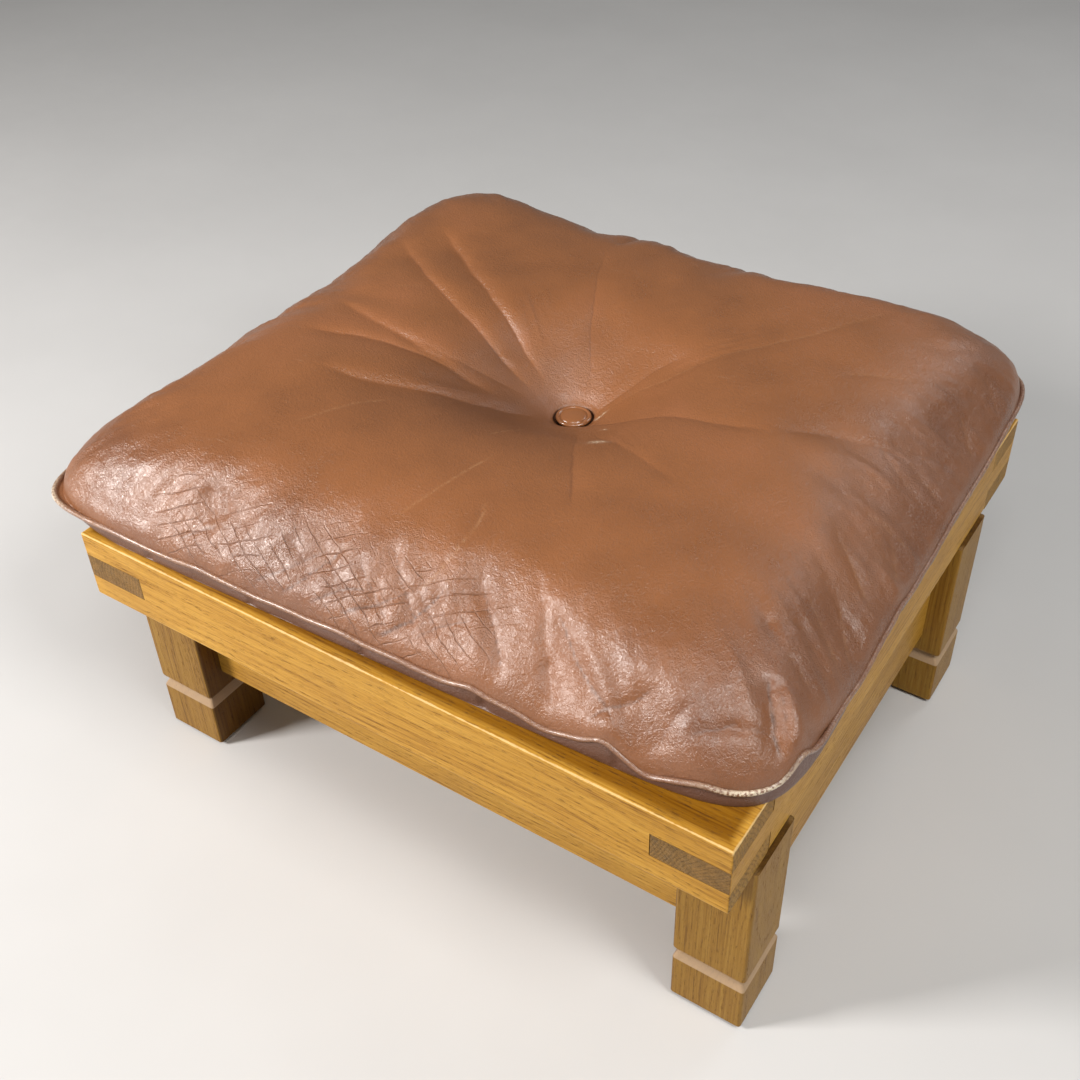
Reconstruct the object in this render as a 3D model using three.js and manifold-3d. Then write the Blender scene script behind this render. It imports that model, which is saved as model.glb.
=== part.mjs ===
// Storage ottoman: an oak beam frame on four legs, deep aprons round a storage box, a lift-out lid and
// a loose buttoned leather cushion. Millimetres, +Z up, the front faces -Y. The origin is on the floor,
// under the middle of the whole object.

import * as THREE from 'three';
import { mergeVertices } from 'three/addons/utils/BufferGeometryUtils.js';
import Module from 'manifold-3d';

const wasm = await Module();
wasm.setup();

// ---------------------------------------------------------------- driving dimensions, mm
const fitGap = 0.3;               // between two wooden faces that touch

const frameWidth = 700;           // over the side rails' outer faces
const frameDepth = 660;           // over the front and back rails' outer faces
const frameTop = 306;             // from the floor to the rails' top faces
const railWidth = 71;
const railHeight = 78;
const topCheek = 26;              // front and back rails' upper cheek at the corner joint
const tongueHeight = 26;          // side rails' tongue between the two cheeks
const topArris = 2;               // worn round-over on the upper edges
const bottomArris = 4;
const endArris = 1.2;             // on the rails' ends

const legWidth = 72;              // across the object
const legDepth = 70;              // front to back
const legProud = 4;               // how far a leg stands out from the side rail's outer face
const frontLegSetback = 44;       // frame's front face to the front legs' front face
const backLegSetback = 76;        // frame's back face to the back legs' back face
const legCorner = 3;
const footHeight = 57;            // foot block below the groove
const grooveHeight = 13;
const grooveDepth = 6;
const legTenonHeight = 40;
const legTenonWidth = 34;
const legTenonShoulder = 9;       // least wood round a leg's tenon, front and back

const apronHeight = 131;
const apronThickness = 25;
const apronRecess = 23;           // behind the legs' outer faces
const apronArris = 1.5;
const apronTenonLength = 22;
const apronTenonThickness = 12;
const apronTenonShoulder = 15;    // above and below the tenon

const padThickness = 3;           // felt under each foot
const padInset = 6;

const bearerSize = 18;            // square strips that carry the lid and the floor
const bearerScrewInset = 60;      // from a strip's end to its screw
const lidThickness = 12;
const lidClearance = 1.5;         // round the lid in the frame
const fingerHoleRadius = 15;
const fingerHoleSetback = 60;     // lid's front edge to the hole's middle
const floorThickness = 9;
const floorClearance = 1;

const screwShankRadius = 2;
const screwHeadRadius = 4;
const screwHeadHeight = 3;
const screwBite = 14;             // length of screw in the rail or apron behind a strip
const screwTip = 4;

const cushionSideOverhang = 47;   // past the frame on each side, when centred
const cushionEndOverhang = 26;    // past the frame at front and back, when centred
const cushionShiftLeft = 38;      // how the loose cushion lies on the frame
const cushionShiftBack = 39;
const cushionTurn = 1.7;          // degrees, anticlockwise from above
const cushionSquareness = 11;     // superellipse exponent of the outline
const cushionBottomInset = 6;     // lower edge, inside the welt's inner line
const weltHeight = 18;            // above the frame's top
const weltRadius = 3.5;
const crownHeight = 86;           // crown above the welt, before it is buttoned down
const crownFlatness = 4;
const dimpleDepth = 66;
const dimpleReach = 80;           // radius at which the dimple is half as deep
const twineHoleRadius = 1.8;
const twineRadius = 1.2;

const buttonRadius = 18.5;
const buttonRim = 3.5;
const buttonDome = 5;
const buttonSeat = 26;            // seat of the button above the frame's top
const washerRadius = 14;
const washerThickness = 3;
const washerRecess = 6;           // hollow for the washer in the cushion's underside
const washerPlay = 4;             // round the washer in its hollow
const buttonPlay = 2;             // round the button in its seat

// ---------------------------------------------------------------- sizes worked out from them
const legBottom = padThickness + fitGap;
const railUnderside = frameTop - railHeight;
const legTop = railUnderside - fitGap;
const halfWidth = frameWidth / 2;
const halfDepth = frameDepth / 2;
const innerHalfWidth = halfWidth - railWidth;
const innerHalfDepth = halfDepth - railWidth;
const legCentreX = halfWidth + legProud - legWidth / 2;
const legCentreY = {
  front: -halfDepth + frontLegSetback + legDepth / 2,
  back: halfDepth - backLegSetback - legDepth / 2,
};
const apronMidInset = apronRecess + apronThickness / 2;
const apronMidX = halfWidth + legProud - apronMidInset;
const apronMidY = {
  front: -halfDepth + frontLegSetback + apronMidInset,
  back: halfDepth - backLegSetback - apronMidInset,
};
const apronTop = legTop;
const apronMiddleZ = apronTop - apronHeight / 2;
const boxHalfWidth = apronMidX - apronThickness / 2;
const boxFront = apronMidY.front + apronThickness / 2;
const boxBack = apronMidY.back - apronThickness / 2;

// ---------------------------------------------------------------- materials
function finish(colour, roughness, metalness = 0) {
  return () => new THREE.MeshStandardMaterial({ color: colour, roughness, metalness });
}

const oak = finish(0xc89a54, 0.5);
const plywood = finish(0xd2b48c, 0.7);
const beech = finish(0xcfae82, 0.7);
const steel = finish(0xa9a9a6, 0.35, 1);
const felt = finish(0x2b2926, 0.95);
const leather = finish(0x96643f, 0.4);
const pipingLeather = finish(0x7d4f38, 0.45);
const twine = finish(0xb9a58a, 0.9);

// ---------------------------------------------------------------- solids
// Manifold needs shared vertices, and none of the triangles that collapse where a lathe meets its axis.
function toSolid(geometry) {
  const plain = geometry.index ? geometry.toNonIndexed() : geometry.clone();
  plain.deleteAttribute('normal');
  plain.deleteAttribute('uv');
  const merged = mergeVertices(plain, 1e-4);
  const triangles = [];
  for (let i = 0; i < merged.index.count; i += 3) {
    const [a, b, c] = [0, 1, 2].map((k) => merged.index.getX(i + k));
    if (a !== b && b !== c && c !== a) {
      triangles.push(a, b, c);
    }
  }
  return new wasm.Manifold(new wasm.Mesh({
    numProp: 3,
    vertProperties: new Float32Array(merged.attributes.position.array),
    triVerts: new Uint32Array(triangles),
  }));
}

function toGeometry(solid) {
  const mesh = solid.getMesh();
  const geometry = new THREE.BufferGeometry();
  geometry.setAttribute('position', new THREE.BufferAttribute(mesh.vertProperties, 3));
  geometry.setIndex(new THREE.BufferAttribute(mesh.triVerts, 1));
  return geometry;
}

function cutFrom(geometry, cutters) {
  return toGeometry(cutters.reduce((solid, cutter) => solid.subtract(toSolid(cutter)), toSolid(geometry)));
}

function joinTo(geometry, additions) {
  return toGeometry(additions.reduce((solid, extra) => solid.add(toSolid(extra)), toSolid(geometry)));
}

function box(from, to) {
  const size = to.map((value, axis) => value - from[axis]);
  const geometry = new THREE.BoxGeometry(...size);
  return geometry.translate(...from.map((value, axis) => value + size[axis] / 2));
}

// A rectangle with its own corner radius at the top and at the bottom.
function roundedSection(width, height, topRadius, bottomRadius) {
  const w = width / 2;
  const h = height / 2;
  const shape = new THREE.Shape();
  shape.moveTo(-w + bottomRadius, -h);
  shape.lineTo(w - bottomRadius, -h);
  shape.absarc(w - bottomRadius, -h + bottomRadius, bottomRadius, -Math.PI / 2, 0);
  shape.lineTo(w, h - topRadius);
  shape.absarc(w - topRadius, h - topRadius, topRadius, 0, Math.PI / 2);
  shape.lineTo(-w + topRadius, h);
  shape.absarc(-w + topRadius, h - topRadius, topRadius, Math.PI / 2, Math.PI);
  shape.lineTo(-w, -h + bottomRadius);
  shape.absarc(-w + bottomRadius, -h + bottomRadius, bottomRadius, Math.PI, 1.5 * Math.PI);
  return shape;
}

// A bar of that section, centred on the origin, along X or Y, with its ends rounded over by endRound.
function bar(along, length, section, endRound) {
  const geometry = new THREE.ExtrudeGeometry(section, {
    depth: length - 2 * endRound,
    steps: 1,
    curveSegments: 3,
    bevelEnabled: endRound > 0,
    bevelThickness: endRound,
    bevelSize: endRound,
    bevelOffset: -endRound,
    bevelSegments: 2,
  });
  geometry.translate(0, 0, -length / 2 + endRound);
  const up = new THREE.Vector3(0, 0, 1);
  const lengthwise = along === 'x' ? new THREE.Vector3(1, 0, 0) : new THREE.Vector3(0, 1, 0);
  const across = new THREE.Vector3().crossVectors(up, lengthwise);
  return geometry.applyMatrix4(new THREE.Matrix4().makeBasis(across, up, lengthwise));
}

// A closed surface through rings of equal length. Open stacks are capped with a fan at each end.
function loft(rings, loop) {
  const count = rings[0].length;
  const points = rings.flat();
  const faces = [];
  const bands = loop ? rings.length : rings.length - 1;
  for (let band = 0; band < bands; band += 1) {
    const here = band * count;
    const next = ((band + 1) % rings.length) * count;
    for (let i = 0; i < count; i += 1) {
      const j = (i + 1) % count;
      faces.push(here + i, here + j, next + j, here + i, next + j, next + i);
    }
  }
  if (!loop) {
    const last = (rings.length - 1) * count;
    for (let i = 1; i < count - 1; i += 1) {
      faces.push(0, i + 1, i, last, last + i, last + i + 1);
    }
  }
  const geometry = new THREE.BufferGeometry();
  geometry.setAttribute('position', new THREE.Float32BufferAttribute(points.flat(), 3));
  geometry.setIndex(faces);
  return geometry;
}

// ---------------------------------------------------------------- screws
// A countersunk wood screw on the Z axis, its head's face at z = 0 and its tip pointing down.
function screwGeometry(extra) {
  const length = bearerSize + screwBite;
  const shank = screwShankRadius + extra;
  const head = screwHeadRadius + extra;
  const profile = [
    [0, -length - extra],
    [shank * 0.3, -length - extra],
    [shank, -length + screwTip],
    [shank, -screwHeadHeight - extra],
    [head, -extra],
    [head, extra],
    [0, extra],
  ];
  return new THREE.LatheGeometry(profile.map(([r, z]) => new THREE.Vector2(r, z)), 10).rotateX(Math.PI / 2);
}

// Turns a screw on Z so that its tip points along +x, -x, +y or -y, and puts its head at the place given.
function aimScrew(geometry, tipDirection, head) {
  const turn = new THREE.Quaternion().setFromUnitVectors(new THREE.Vector3(0, 0, -1), tipDirection);
  return geometry.applyQuaternion(turn).translate(...head);
}

// The four walls: which way a strip along each one runs, and which way its screws point.
const walls = {
  front: { along: 'x', outward: new THREE.Vector3(0, -1, 0) },
  back: { along: 'x', outward: new THREE.Vector3(0, 1, 0) },
  left: { along: 'y', outward: new THREE.Vector3(-1, 0, 0) },
  right: { along: 'y', outward: new THREE.Vector3(1, 0, 0) },
};

// One strip and its two screws: side is the wall that it is fixed to, wall that wall's coordinate.
function planStrip(side, wall, middle, length, z) {
  const { along, outward } = walls[side];
  const sign = outward.x + outward.y;
  const across = wall - sign * (fitGap + bearerSize / 2);
  const face = wall - sign * (fitGap + bearerSize);
  const centre = along === 'x' ? [middle, across, z] : [across, middle, z];
  const offset = length / 2 - bearerScrewInset;
  const heads = [middle - offset, middle + offset].map(
    (place) => (along === 'x' ? [place, face, z] : [face, place, z]),
  );
  return { side, along, outward, length, centre, heads };
}

const lidBearerZ = frameTop - lidThickness - fitGap - bearerSize / 2;
const floorBearerZ = apronTop - apronHeight + bearerSize / 2;
const sideStripLength = 2 * (innerHalfDepth - bearerSize - 3 * fitGap);
const legInnerX = legCentreX - legWidth / 2;
const legInnerFront = legCentreY.front + legDepth / 2;
const legInnerBack = legCentreY.back - legDepth / 2;
const floorSideLength = legInnerBack - legInnerFront - 2 * fitGap;
const floorEndLength = 2 * (legInnerX - fitGap);

const lidStrips = [
  planStrip('front', -innerHalfDepth, 0, 2 * (innerHalfWidth - fitGap), lidBearerZ),
  planStrip('back', innerHalfDepth, 0, 2 * (innerHalfWidth - fitGap), lidBearerZ),
  planStrip('left', -innerHalfWidth, 0, sideStripLength, lidBearerZ),
  planStrip('right', innerHalfWidth, 0, sideStripLength, lidBearerZ),
];
const floorStrips = [
  planStrip('front', boxFront, 0, floorEndLength, floorBearerZ),
  planStrip('back', boxBack, 0, floorEndLength, floorBearerZ),
  planStrip('left', -boxHalfWidth, (legInnerFront + legInnerBack) / 2, floorSideLength, floorBearerZ),
  planStrip('right', boxHalfWidth, (legInnerFront + legInnerBack) / 2, floorSideLength, floorBearerZ),
];

function screwHoles(strips, side) {
  return strips.filter((strip) => strip.side === side).flatMap(
    (strip) => strip.heads.map((head) => aimScrew(screwGeometry(fitGap), strip.outward, head)),
  );
}

// ---------------------------------------------------------------- frame rails
const tongueTop = frameTop - topCheek;
const tongueBottom = tongueTop - tongueHeight;
const overrun = 1;                // how far a cutter runs past the wood

function railBlank(along, length) {
  const section = roundedSection(railWidth, railHeight, topArris, bottomArris);
  return bar(along, length, section, endArris).translate(0, 0, frameTop - railHeight / 2);
}

// Front and back rails run full width. Each end has an open slot for a side rail's tongue.
function endRail(side) {
  const sign = side === 'front' ? -1 : 1;
  const rail = railBlank('x', frameWidth).translate(0, sign * (halfDepth - railWidth / 2), 0);
  const low = tongueBottom - fitGap;
  const high = tongueTop + fitGap;
  const slots = [-1, 1].map((end) => {
    const inner = end * (innerHalfWidth - fitGap);
    const outer = end * (halfWidth + overrun);
    const near = sign * (innerHalfDepth - overrun);
    const far = sign * (halfDepth + overrun);
    return box(
      [Math.min(inner, outer), Math.min(near, far), low],
      [Math.max(inner, outer), Math.max(near, far), high],
    );
  });
  return cutFrom(rail, [...slots, ...screwHoles(lidStrips, side)]);
}

// Where a leg's tenon goes up into the side rail: behind the corner joint, inside the leg.
function legTenonSpan(end) {
  const sign = end === 'front' ? 1 : -1;
  const edges = [legCentreY[end] - sign * legDepth / 2, legCentreY[end] + sign * legDepth / 2];
  const shoulder = end === 'front' ? -innerHalfDepth : innerHalfDepth;
  const outer = sign * Math.max(sign * edges[0], sign * shoulder) + sign * legTenonShoulder;
  const inner = edges[1] - sign * legTenonShoulder;
  return [Math.min(outer, inner), Math.max(outer, inner)];
}

function legTenon(side, end, extra) {
  const middleX = (side === 'left' ? -1 : 1) * (halfWidth - railWidth / 2);
  const [near, far] = legTenonSpan(end);
  return box(
    [middleX - legTenonWidth / 2 - extra, near - extra, legTop - overrun],
    [middleX + legTenonWidth / 2 + extra, far + extra, legTop + legTenonHeight + extra],
  );
}

// Side rails run full depth. Their ends keep only the middle tongue, which shows on the front and back.
function sideRail(side) {
  const sign = side === 'left' ? -1 : 1;
  const rail = railBlank('y', frameDepth).translate(sign * (halfWidth - railWidth / 2), 0, 0);
  const near = sign * (innerHalfWidth - overrun);
  const far = sign * (halfWidth + overrun);
  const cuts = [-1, 1].flatMap((end) => {
    const inner = end * (innerHalfDepth - fitGap);
    const outer = end * (halfDepth + overrun);
    return [[tongueTop, frameTop + overrun], [railUnderside - overrun, tongueBottom]].map(([low, high]) => box(
      [Math.min(near, far), Math.min(inner, outer), low],
      [Math.max(near, far), Math.max(inner, outer), high],
    ));
  });
  const mortises = ['front', 'back'].map((end) => legTenon(side, end, fitGap));
  return cutFrom(rail, [...cuts, ...mortises, ...screwHoles(lidStrips, side)]);
}

// ---------------------------------------------------------------- legs
// A ring of a rectangle with round corners, the size given less the inset all round.
function legRing(x, y, z, inset) {
  const w = legWidth / 2 - inset;
  const d = legDepth / 2 - inset;
  const corners = [[1, 1, 0], [-1, 1, 1], [-1, -1, 2], [1, -1, 3]];
  const steps = 3;
  return corners.flatMap(([sx, sy, quarter]) => Array.from({ length: steps + 1 }, (_, i) => {
    const angle = (quarter + i / steps) * Math.PI / 2;
    return [
      x + sx * (w - legCorner) + legCorner * Math.cos(angle),
      y + sy * (d - legCorner) + legCorner * Math.sin(angle),
      z,
    ];
  }));
}

// Foot block, groove with a sloping lower flank and an undercut shaft, then the plain shaft.
function legBlank(side, end) {
  const x = (side === 'left' ? -1 : 1) * legCentreX;
  const y = legCentreY[end];
  const blockTop = legBottom + footHeight;
  const shaftBottom = blockTop + grooveHeight;
  const levels = [
    [legBottom, 2],
    [legBottom + 2, 0],
    [blockTop - 1.5, 0],
    [blockTop, 0.6],
    [shaftBottom - 3, grooveDepth],
    [shaftBottom - 1.6, grooveDepth - 3],
    [shaftBottom, 0.8],
    [shaftBottom + 2.5, 0],
    [legTop, 0],
  ];
  return loft(levels.map(([z, inset]) => legRing(x, y, z, inset)), false);
}

// A tenon on an apron's end, or the mortise for it when extra is the gap.
function apronTenons(side, extra) {
  const low = apronTop - apronHeight + apronTenonShoulder - extra;
  const high = apronTop - apronTenonShoulder + extra;
  const half = apronTenonThickness / 2 + extra;
  const reach = apronTenonLength + extra;
  if (side === 'front' || side === 'back') {
    const y = apronMidY[side];
    return [-1, 1].map((end) => {
      const inside = end * (legInnerX - fitGap - overrun);
      const outside = end * (legInnerX + reach);
      return box([Math.min(inside, outside), y - half, low], [Math.max(inside, outside), y + half, high]);
    });
  }
  const x = (side === 'left' ? -1 : 1) * apronMidX;
  return [
    box([x - half, legInnerFront - reach, low], [x + half, legInnerFront + fitGap + overrun, high]),
    box([x - half, legInnerBack - fitGap - overrun, low], [x + half, legInnerBack + reach, high]),
  ];
}

function leg(side, end) {
  const withTenon = joinTo(legBlank(side, end), [legTenon(side, end, 0)]);
  const mortises = [...apronTenons(side, fitGap), ...apronTenons(end, fitGap)];
  return cutFrom(withTenon, mortises);
}

function footPad(side, end) {
  const x = (side === 'left' ? -1 : 1) * legCentreX;
  const y = legCentreY[end];
  const w = legWidth / 2 - padInset;
  const d = legDepth / 2 - padInset;
  return box([x - w, y - d, 0], [x + w, y + d, padThickness]);
}

// ---------------------------------------------------------------- aprons
function apron(side) {
  const { along } = walls[side];
  const section = roundedSection(apronThickness, apronHeight, apronArris, apronArris);
  const length = along === 'x' ? floorEndLength : floorSideLength;
  const middleY = along === 'x' ? apronMidY[side] : (legInnerFront + legInnerBack) / 2;
  const middleX = along === 'x' ? 0 : (side === 'left' ? -1 : 1) * apronMidX;
  const board = bar(along, length, section, 0).translate(middleX, middleY, apronMiddleZ);
  return cutFrom(joinTo(board, apronTenons(side, 0)), screwHoles(floorStrips, side));
}

// ---------------------------------------------------------------- strips, floor and lid
function strip(plan) {
  const { along, length, centre, outward, heads } = plan;
  const size = along === 'x' ? [length, bearerSize, bearerSize] : [bearerSize, length, bearerSize];
  const blank = new THREE.BoxGeometry(...size).translate(...centre);
  return cutFrom(blank, heads.map((head) => aimScrew(screwGeometry(fitGap), outward, head)));
}

// The floor panel drops in over its strips, notched round the four legs.
function storageFloor() {
  const w = boxHalfWidth - floorClearance;
  const front = boxFront + floorClearance;
  const back = boxBack - floorClearance;
  const notchX = legInnerX - floorClearance;
  const notchFront = legInnerFront + floorClearance;
  const notchBack = legInnerBack - floorClearance;
  const outline = [
    [-notchX, front], [notchX, front], [notchX, notchFront], [w, notchFront],
    [w, notchBack], [notchX, notchBack], [notchX, back], [-notchX, back],
    [-notchX, notchBack], [-w, notchBack], [-w, notchFront], [-notchX, notchFront],
  ];
  const shape = new THREE.Shape(outline.map(([x, y]) => new THREE.Vector2(x, y)));
  const panel = new THREE.ExtrudeGeometry(shape, { depth: floorThickness, bevelEnabled: false });
  return panel.translate(0, 0, floorBearerZ + bearerSize / 2 + fitGap);
}

function lidPanel() {
  const w = innerHalfWidth - lidClearance;
  const d = innerHalfDepth - lidClearance;
  const shape = new THREE.Shape([[-w, -d], [w, -d], [w, d], [-w, d]].map(([x, y]) => new THREE.Vector2(x, y)));
  const hole = new THREE.Path();
  hole.absarc(0, -d + fingerHoleSetback, fingerHoleRadius, 0, 2 * Math.PI, true);
  shape.holes.push(hole);
  const options = { depth: lidThickness, bevelEnabled: false, curveSegments: 20 };
  return new THREE.ExtrudeGeometry(shape, options).translate(0, 0, frameTop - lidThickness);
}

// ---------------------------------------------------------------- cushion
const cushionHalfWidth = halfWidth + cushionSideOverhang;
const cushionHalfDepth = halfDepth + cushionEndOverhang;
const outlinePoints = 56;

// One ring of the cushion's plan: a superellipse that is round at the middle and square at the edge.
// share runs from 0 at the twine's hole to 1 at the edge; inset is taken off all round.
function cushionRing(share, inset, z) {
  const a = twineHoleRadius + share * (cushionHalfWidth - inset - twineHoleRadius);
  const b = twineHoleRadius + share * (cushionHalfDepth - inset - twineHoleRadius);
  const exponent = 2 / (2 + (cushionSquareness - 2) * share * share);
  return Array.from({ length: outlinePoints }, (_, i) => {
    const angle = (i + 0.5) / outlinePoints * 2 * Math.PI;
    const c = Math.cos(angle);
    const s = Math.sin(angle);
    return [
      a * Math.sign(c) * Math.abs(c) ** exponent,
      b * Math.sign(s) * Math.abs(s) ** exponent,
      z,
    ];
  });
}

// Height of the cushion's top over the frame: a flat-topped dome less the dimple under the button.
function cushionTop(share) {
  const radius = share * (cushionHalfWidth + cushionHalfDepth) / 2;
  const dome = crownHeight * Math.sqrt(1 - share ** crownFlatness);
  const dimple = dimpleDepth / (1 + (radius / dimpleReach) ** 2);
  return frameTop + weltHeight + dome - dimple;
}

function cushionPad() {
  const bodyInset = 2 * weltRadius + fitGap;
  const underside = frameTop + fitGap;
  const recessShare = (washerRadius + washerPlay) / cushionHalfDepth;
  const seatShare = (buttonRadius + buttonPlay) / cushionHalfDepth;
  const topShares = [0.995, 0.98, 0.955, 0.92, 0.87, 0.8, 0.7, 0.6, 0.48, 0.36, 0.26, 0.18, 0.12, 0.08];
  const rings = [
    cushionRing(0, 0, underside + washerRecess),
    cushionRing(recessShare, 0, underside + washerRecess),
    cushionRing(recessShare * 1.4, 0, underside),
    cushionRing(0.97, bodyInset, underside),
    cushionRing(1, bodyInset + cushionBottomInset / 2, underside + 2),
    cushionRing(1, bodyInset, underside + weltHeight / 2),
    cushionRing(1, bodyInset, frameTop + weltHeight),
    ...topShares.map((share) => cushionRing(share, bodyInset, cushionTop(share))),
    cushionRing(seatShare * 1.06, 0, cushionTop(seatShare * 1.06)),
    cushionRing(seatShare, 0, frameTop + buttonSeat),
    cushionRing(0, 0, frameTop + buttonSeat),
  ];
  return loft(rings, true);
}

// The corded welt: a round section carried round the cushion's widest line.
function cushionWelt() {
  const sides = 8;
  const path = cushionRing(1, weltRadius, frameTop + weltHeight);
  const rings = path.map((point, i) => {
    const before = path[(i + path.length - 1) % path.length];
    const after = path[(i + 1) % path.length];
    const length = Math.hypot(after[0] - before[0], after[1] - before[1]);
    const outward = [(after[1] - before[1]) / length, -(after[0] - before[0]) / length];
    return Array.from({ length: sides }, (_, k) => {
      const angle = k / sides * 2 * Math.PI;
      const out = weltRadius * Math.cos(angle);
      const drop = weltRadius * Math.sin(angle);
      return [point[0] + out * outward[0], point[1] + out * outward[1], point[2] - drop];
    });
  });
  return loft(rings, true);
}

function turned(profile, sides) {
  return new THREE.LatheGeometry(profile.map(([r, z]) => new THREE.Vector2(r, z)), sides).rotateX(Math.PI / 2);
}

const buttonUnderside = frameTop + buttonSeat + fitGap;

// A covered button: a flat back, a rolled rim and a low dome.
function button() {
  const steps = 5;
  const domeProfile = Array.from({ length: steps + 1 }, (_, i) => {
    const angle = i / steps * Math.PI / 2;
    return [(buttonRadius - 1) * Math.cos(angle), buttonRim + buttonDome * Math.sin(angle)];
  });
  domeProfile[steps][0] = 0;
  const profile = [[0, 0], [buttonRadius - 1, 0], [buttonRadius, buttonRim / 2], ...domeProfile];
  return turned(profile, 24).translate(0, 0, buttonUnderside);
}

const washerTop = frameTop + washerRecess;

function backWasher() {
  const profile = [[0, 0], [washerRadius, 0], [washerRadius, washerThickness], [0, washerThickness]];
  return turned(profile, 20).translate(0, 0, washerTop - washerThickness);
}

function tuftTwine() {
  const length = buttonUnderside - fitGap - (washerTop + fitGap);
  const geometry = new THREE.CylinderGeometry(twineRadius, twineRadius, length, 8).rotateX(Math.PI / 2);
  return geometry.translate(0, 0, washerTop + fitGap + length / 2);
}

// ---------------------------------------------------------------- assembly
const ottoman = new THREE.Group();
const frame = new THREE.Group();
const lid = new THREE.Group();
const cushion = new THREE.Group();
ottoman.add(frame, lid, cushion);

function add(group, name, geometry, material) {
  const mesh = new THREE.Mesh(geometry, material());
  mesh.name = name;
  group.add(mesh);
}

for (const side of ['front', 'back']) {
  add(frame, `${side}_rail`, endRail(side), oak);
}
for (const side of ['left', 'right']) {
  add(frame, `${side}_rail`, sideRail(side), oak);
}
for (const end of ['front', 'back']) {
  for (const side of ['left', 'right']) {
    add(frame, `leg_${end}_${side}`, leg(side, end), oak);
    add(frame, `foot_pad_${end}_${side}`, footPad(side, end), felt);
  }
}
for (const side of Object.keys(walls)) {
  add(frame, `${side}_apron`, apron(side), oak);
}

for (const [purpose, strips] of [['lid', lidStrips], ['floor', floorStrips]]) {
  for (const plan of strips) {
    add(frame, `${purpose}_bearer_${plan.side}`, strip(plan), beech);
    plan.heads.forEach((head, i) => {
      const screw = aimScrew(screwGeometry(0), plan.outward, head);
      add(frame, `${purpose}_bearer_${plan.side}_screw_${i + 1}`, screw, steel);
    });
  }
}
add(frame, 'storage_floor', storageFloor(), plywood);

add(lid, 'lid_panel', lidPanel(), plywood);

add(cushion, 'cushion_pad', cushionPad(), leather);
add(cushion, 'cushion_welt', cushionWelt(), pipingLeather);
add(cushion, 'cushion_button', button(), leather);
add(cushion, 'button_washer', backWasher(), steel);
add(cushion, 'tuft_twine', tuftTwine(), twine);
cushion.rotation.z = THREE.MathUtils.degToRad(cushionTurn);
cushion.position.set(-cushionShiftLeft, cushionShiftBack, 0);

// The loose cushion hangs over the back and left, so the middle of the whole object is found from it.
ottoman.updateMatrixWorld(true);
const middle = new THREE.Box3().setFromObject(ottoman, true).getCenter(new THREE.Vector3());
ottoman.position.set(-middle.x, -middle.y, 0);

export default ottoman;
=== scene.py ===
"""Dresses the storage ottoman: oiled oak frame, lift-out ply lid and a loose leather cushion with one button.

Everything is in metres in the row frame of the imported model. The cushion's own plan is measured in millimetres
from its middle, x to the right and y to the back, because that is how an upholsterer marks out a cover.
"""

import logging
import math
from dataclasses import dataclass
from enum import Enum

import bpy
import numpy as np
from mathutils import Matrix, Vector


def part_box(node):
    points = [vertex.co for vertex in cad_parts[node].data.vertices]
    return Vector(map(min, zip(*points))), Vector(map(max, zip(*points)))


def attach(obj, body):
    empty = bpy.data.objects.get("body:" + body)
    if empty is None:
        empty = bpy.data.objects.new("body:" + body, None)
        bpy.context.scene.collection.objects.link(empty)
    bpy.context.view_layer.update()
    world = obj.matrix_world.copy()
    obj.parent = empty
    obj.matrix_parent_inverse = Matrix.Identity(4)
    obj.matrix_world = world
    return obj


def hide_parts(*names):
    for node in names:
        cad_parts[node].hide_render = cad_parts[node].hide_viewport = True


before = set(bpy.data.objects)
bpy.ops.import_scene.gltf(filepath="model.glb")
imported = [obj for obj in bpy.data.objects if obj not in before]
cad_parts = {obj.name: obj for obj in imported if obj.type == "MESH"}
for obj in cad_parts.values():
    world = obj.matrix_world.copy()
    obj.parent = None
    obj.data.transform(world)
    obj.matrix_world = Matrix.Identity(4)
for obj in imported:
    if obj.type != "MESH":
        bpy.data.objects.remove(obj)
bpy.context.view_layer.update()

MM = 0.001
LOG = logging.getLogger("ottoman")
FOOT_TOP = 0.0585
GROOVE = 0.016
# Point attributes that the leather reads: crease carries painted shade, and under darkens the lower panel as painted
# shade and the welt to its own colour.
MARKS = ("crease", "pale", "worn", "net", "rim", "under")


# ---------------------------------------------------------------- small helpers
def smooth(t: np.ndarray) -> np.ndarray:
    """Smoothstep: 0 below 0, 1 above 1, and 3t squared less 2t cubed between."""
    t = np.clip(t, 0.0, 1.0)
    return t * t * (3.0 - 2.0 * t)


def lattice_noise(x: np.ndarray, y: np.ndarray, size: float, seed: int) -> np.ndarray:
    """Smooth random field from -1 to 1: random values on a square lattice, blended with smoothstep between.

    Args:
        x: First coordinate of each point.
        y: Second coordinate of each point.
        size: Lattice spacing, in the unit of x and y.
        seed: Seed of the lattice values.

    Returns:
        One value for each point.
    """
    values = np.random.default_rng(seed).uniform(-1.0, 1.0, (64, 64))
    u = x / size + 31.7
    v = y / size + 17.3
    i = np.floor(u).astype(int)
    j = np.floor(v).astype(int)
    fu = smooth(u - i)
    fv = smooth(v - j)
    low = values[i % 64, j % 64] * (1 - fu) + values[(i + 1) % 64, j % 64] * fu
    high = values[i % 64, (j + 1) % 64] * (1 - fu) + values[(i + 1) % 64, (j + 1) % 64] * fu
    return low * (1 - fv) + high * fv


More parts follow.
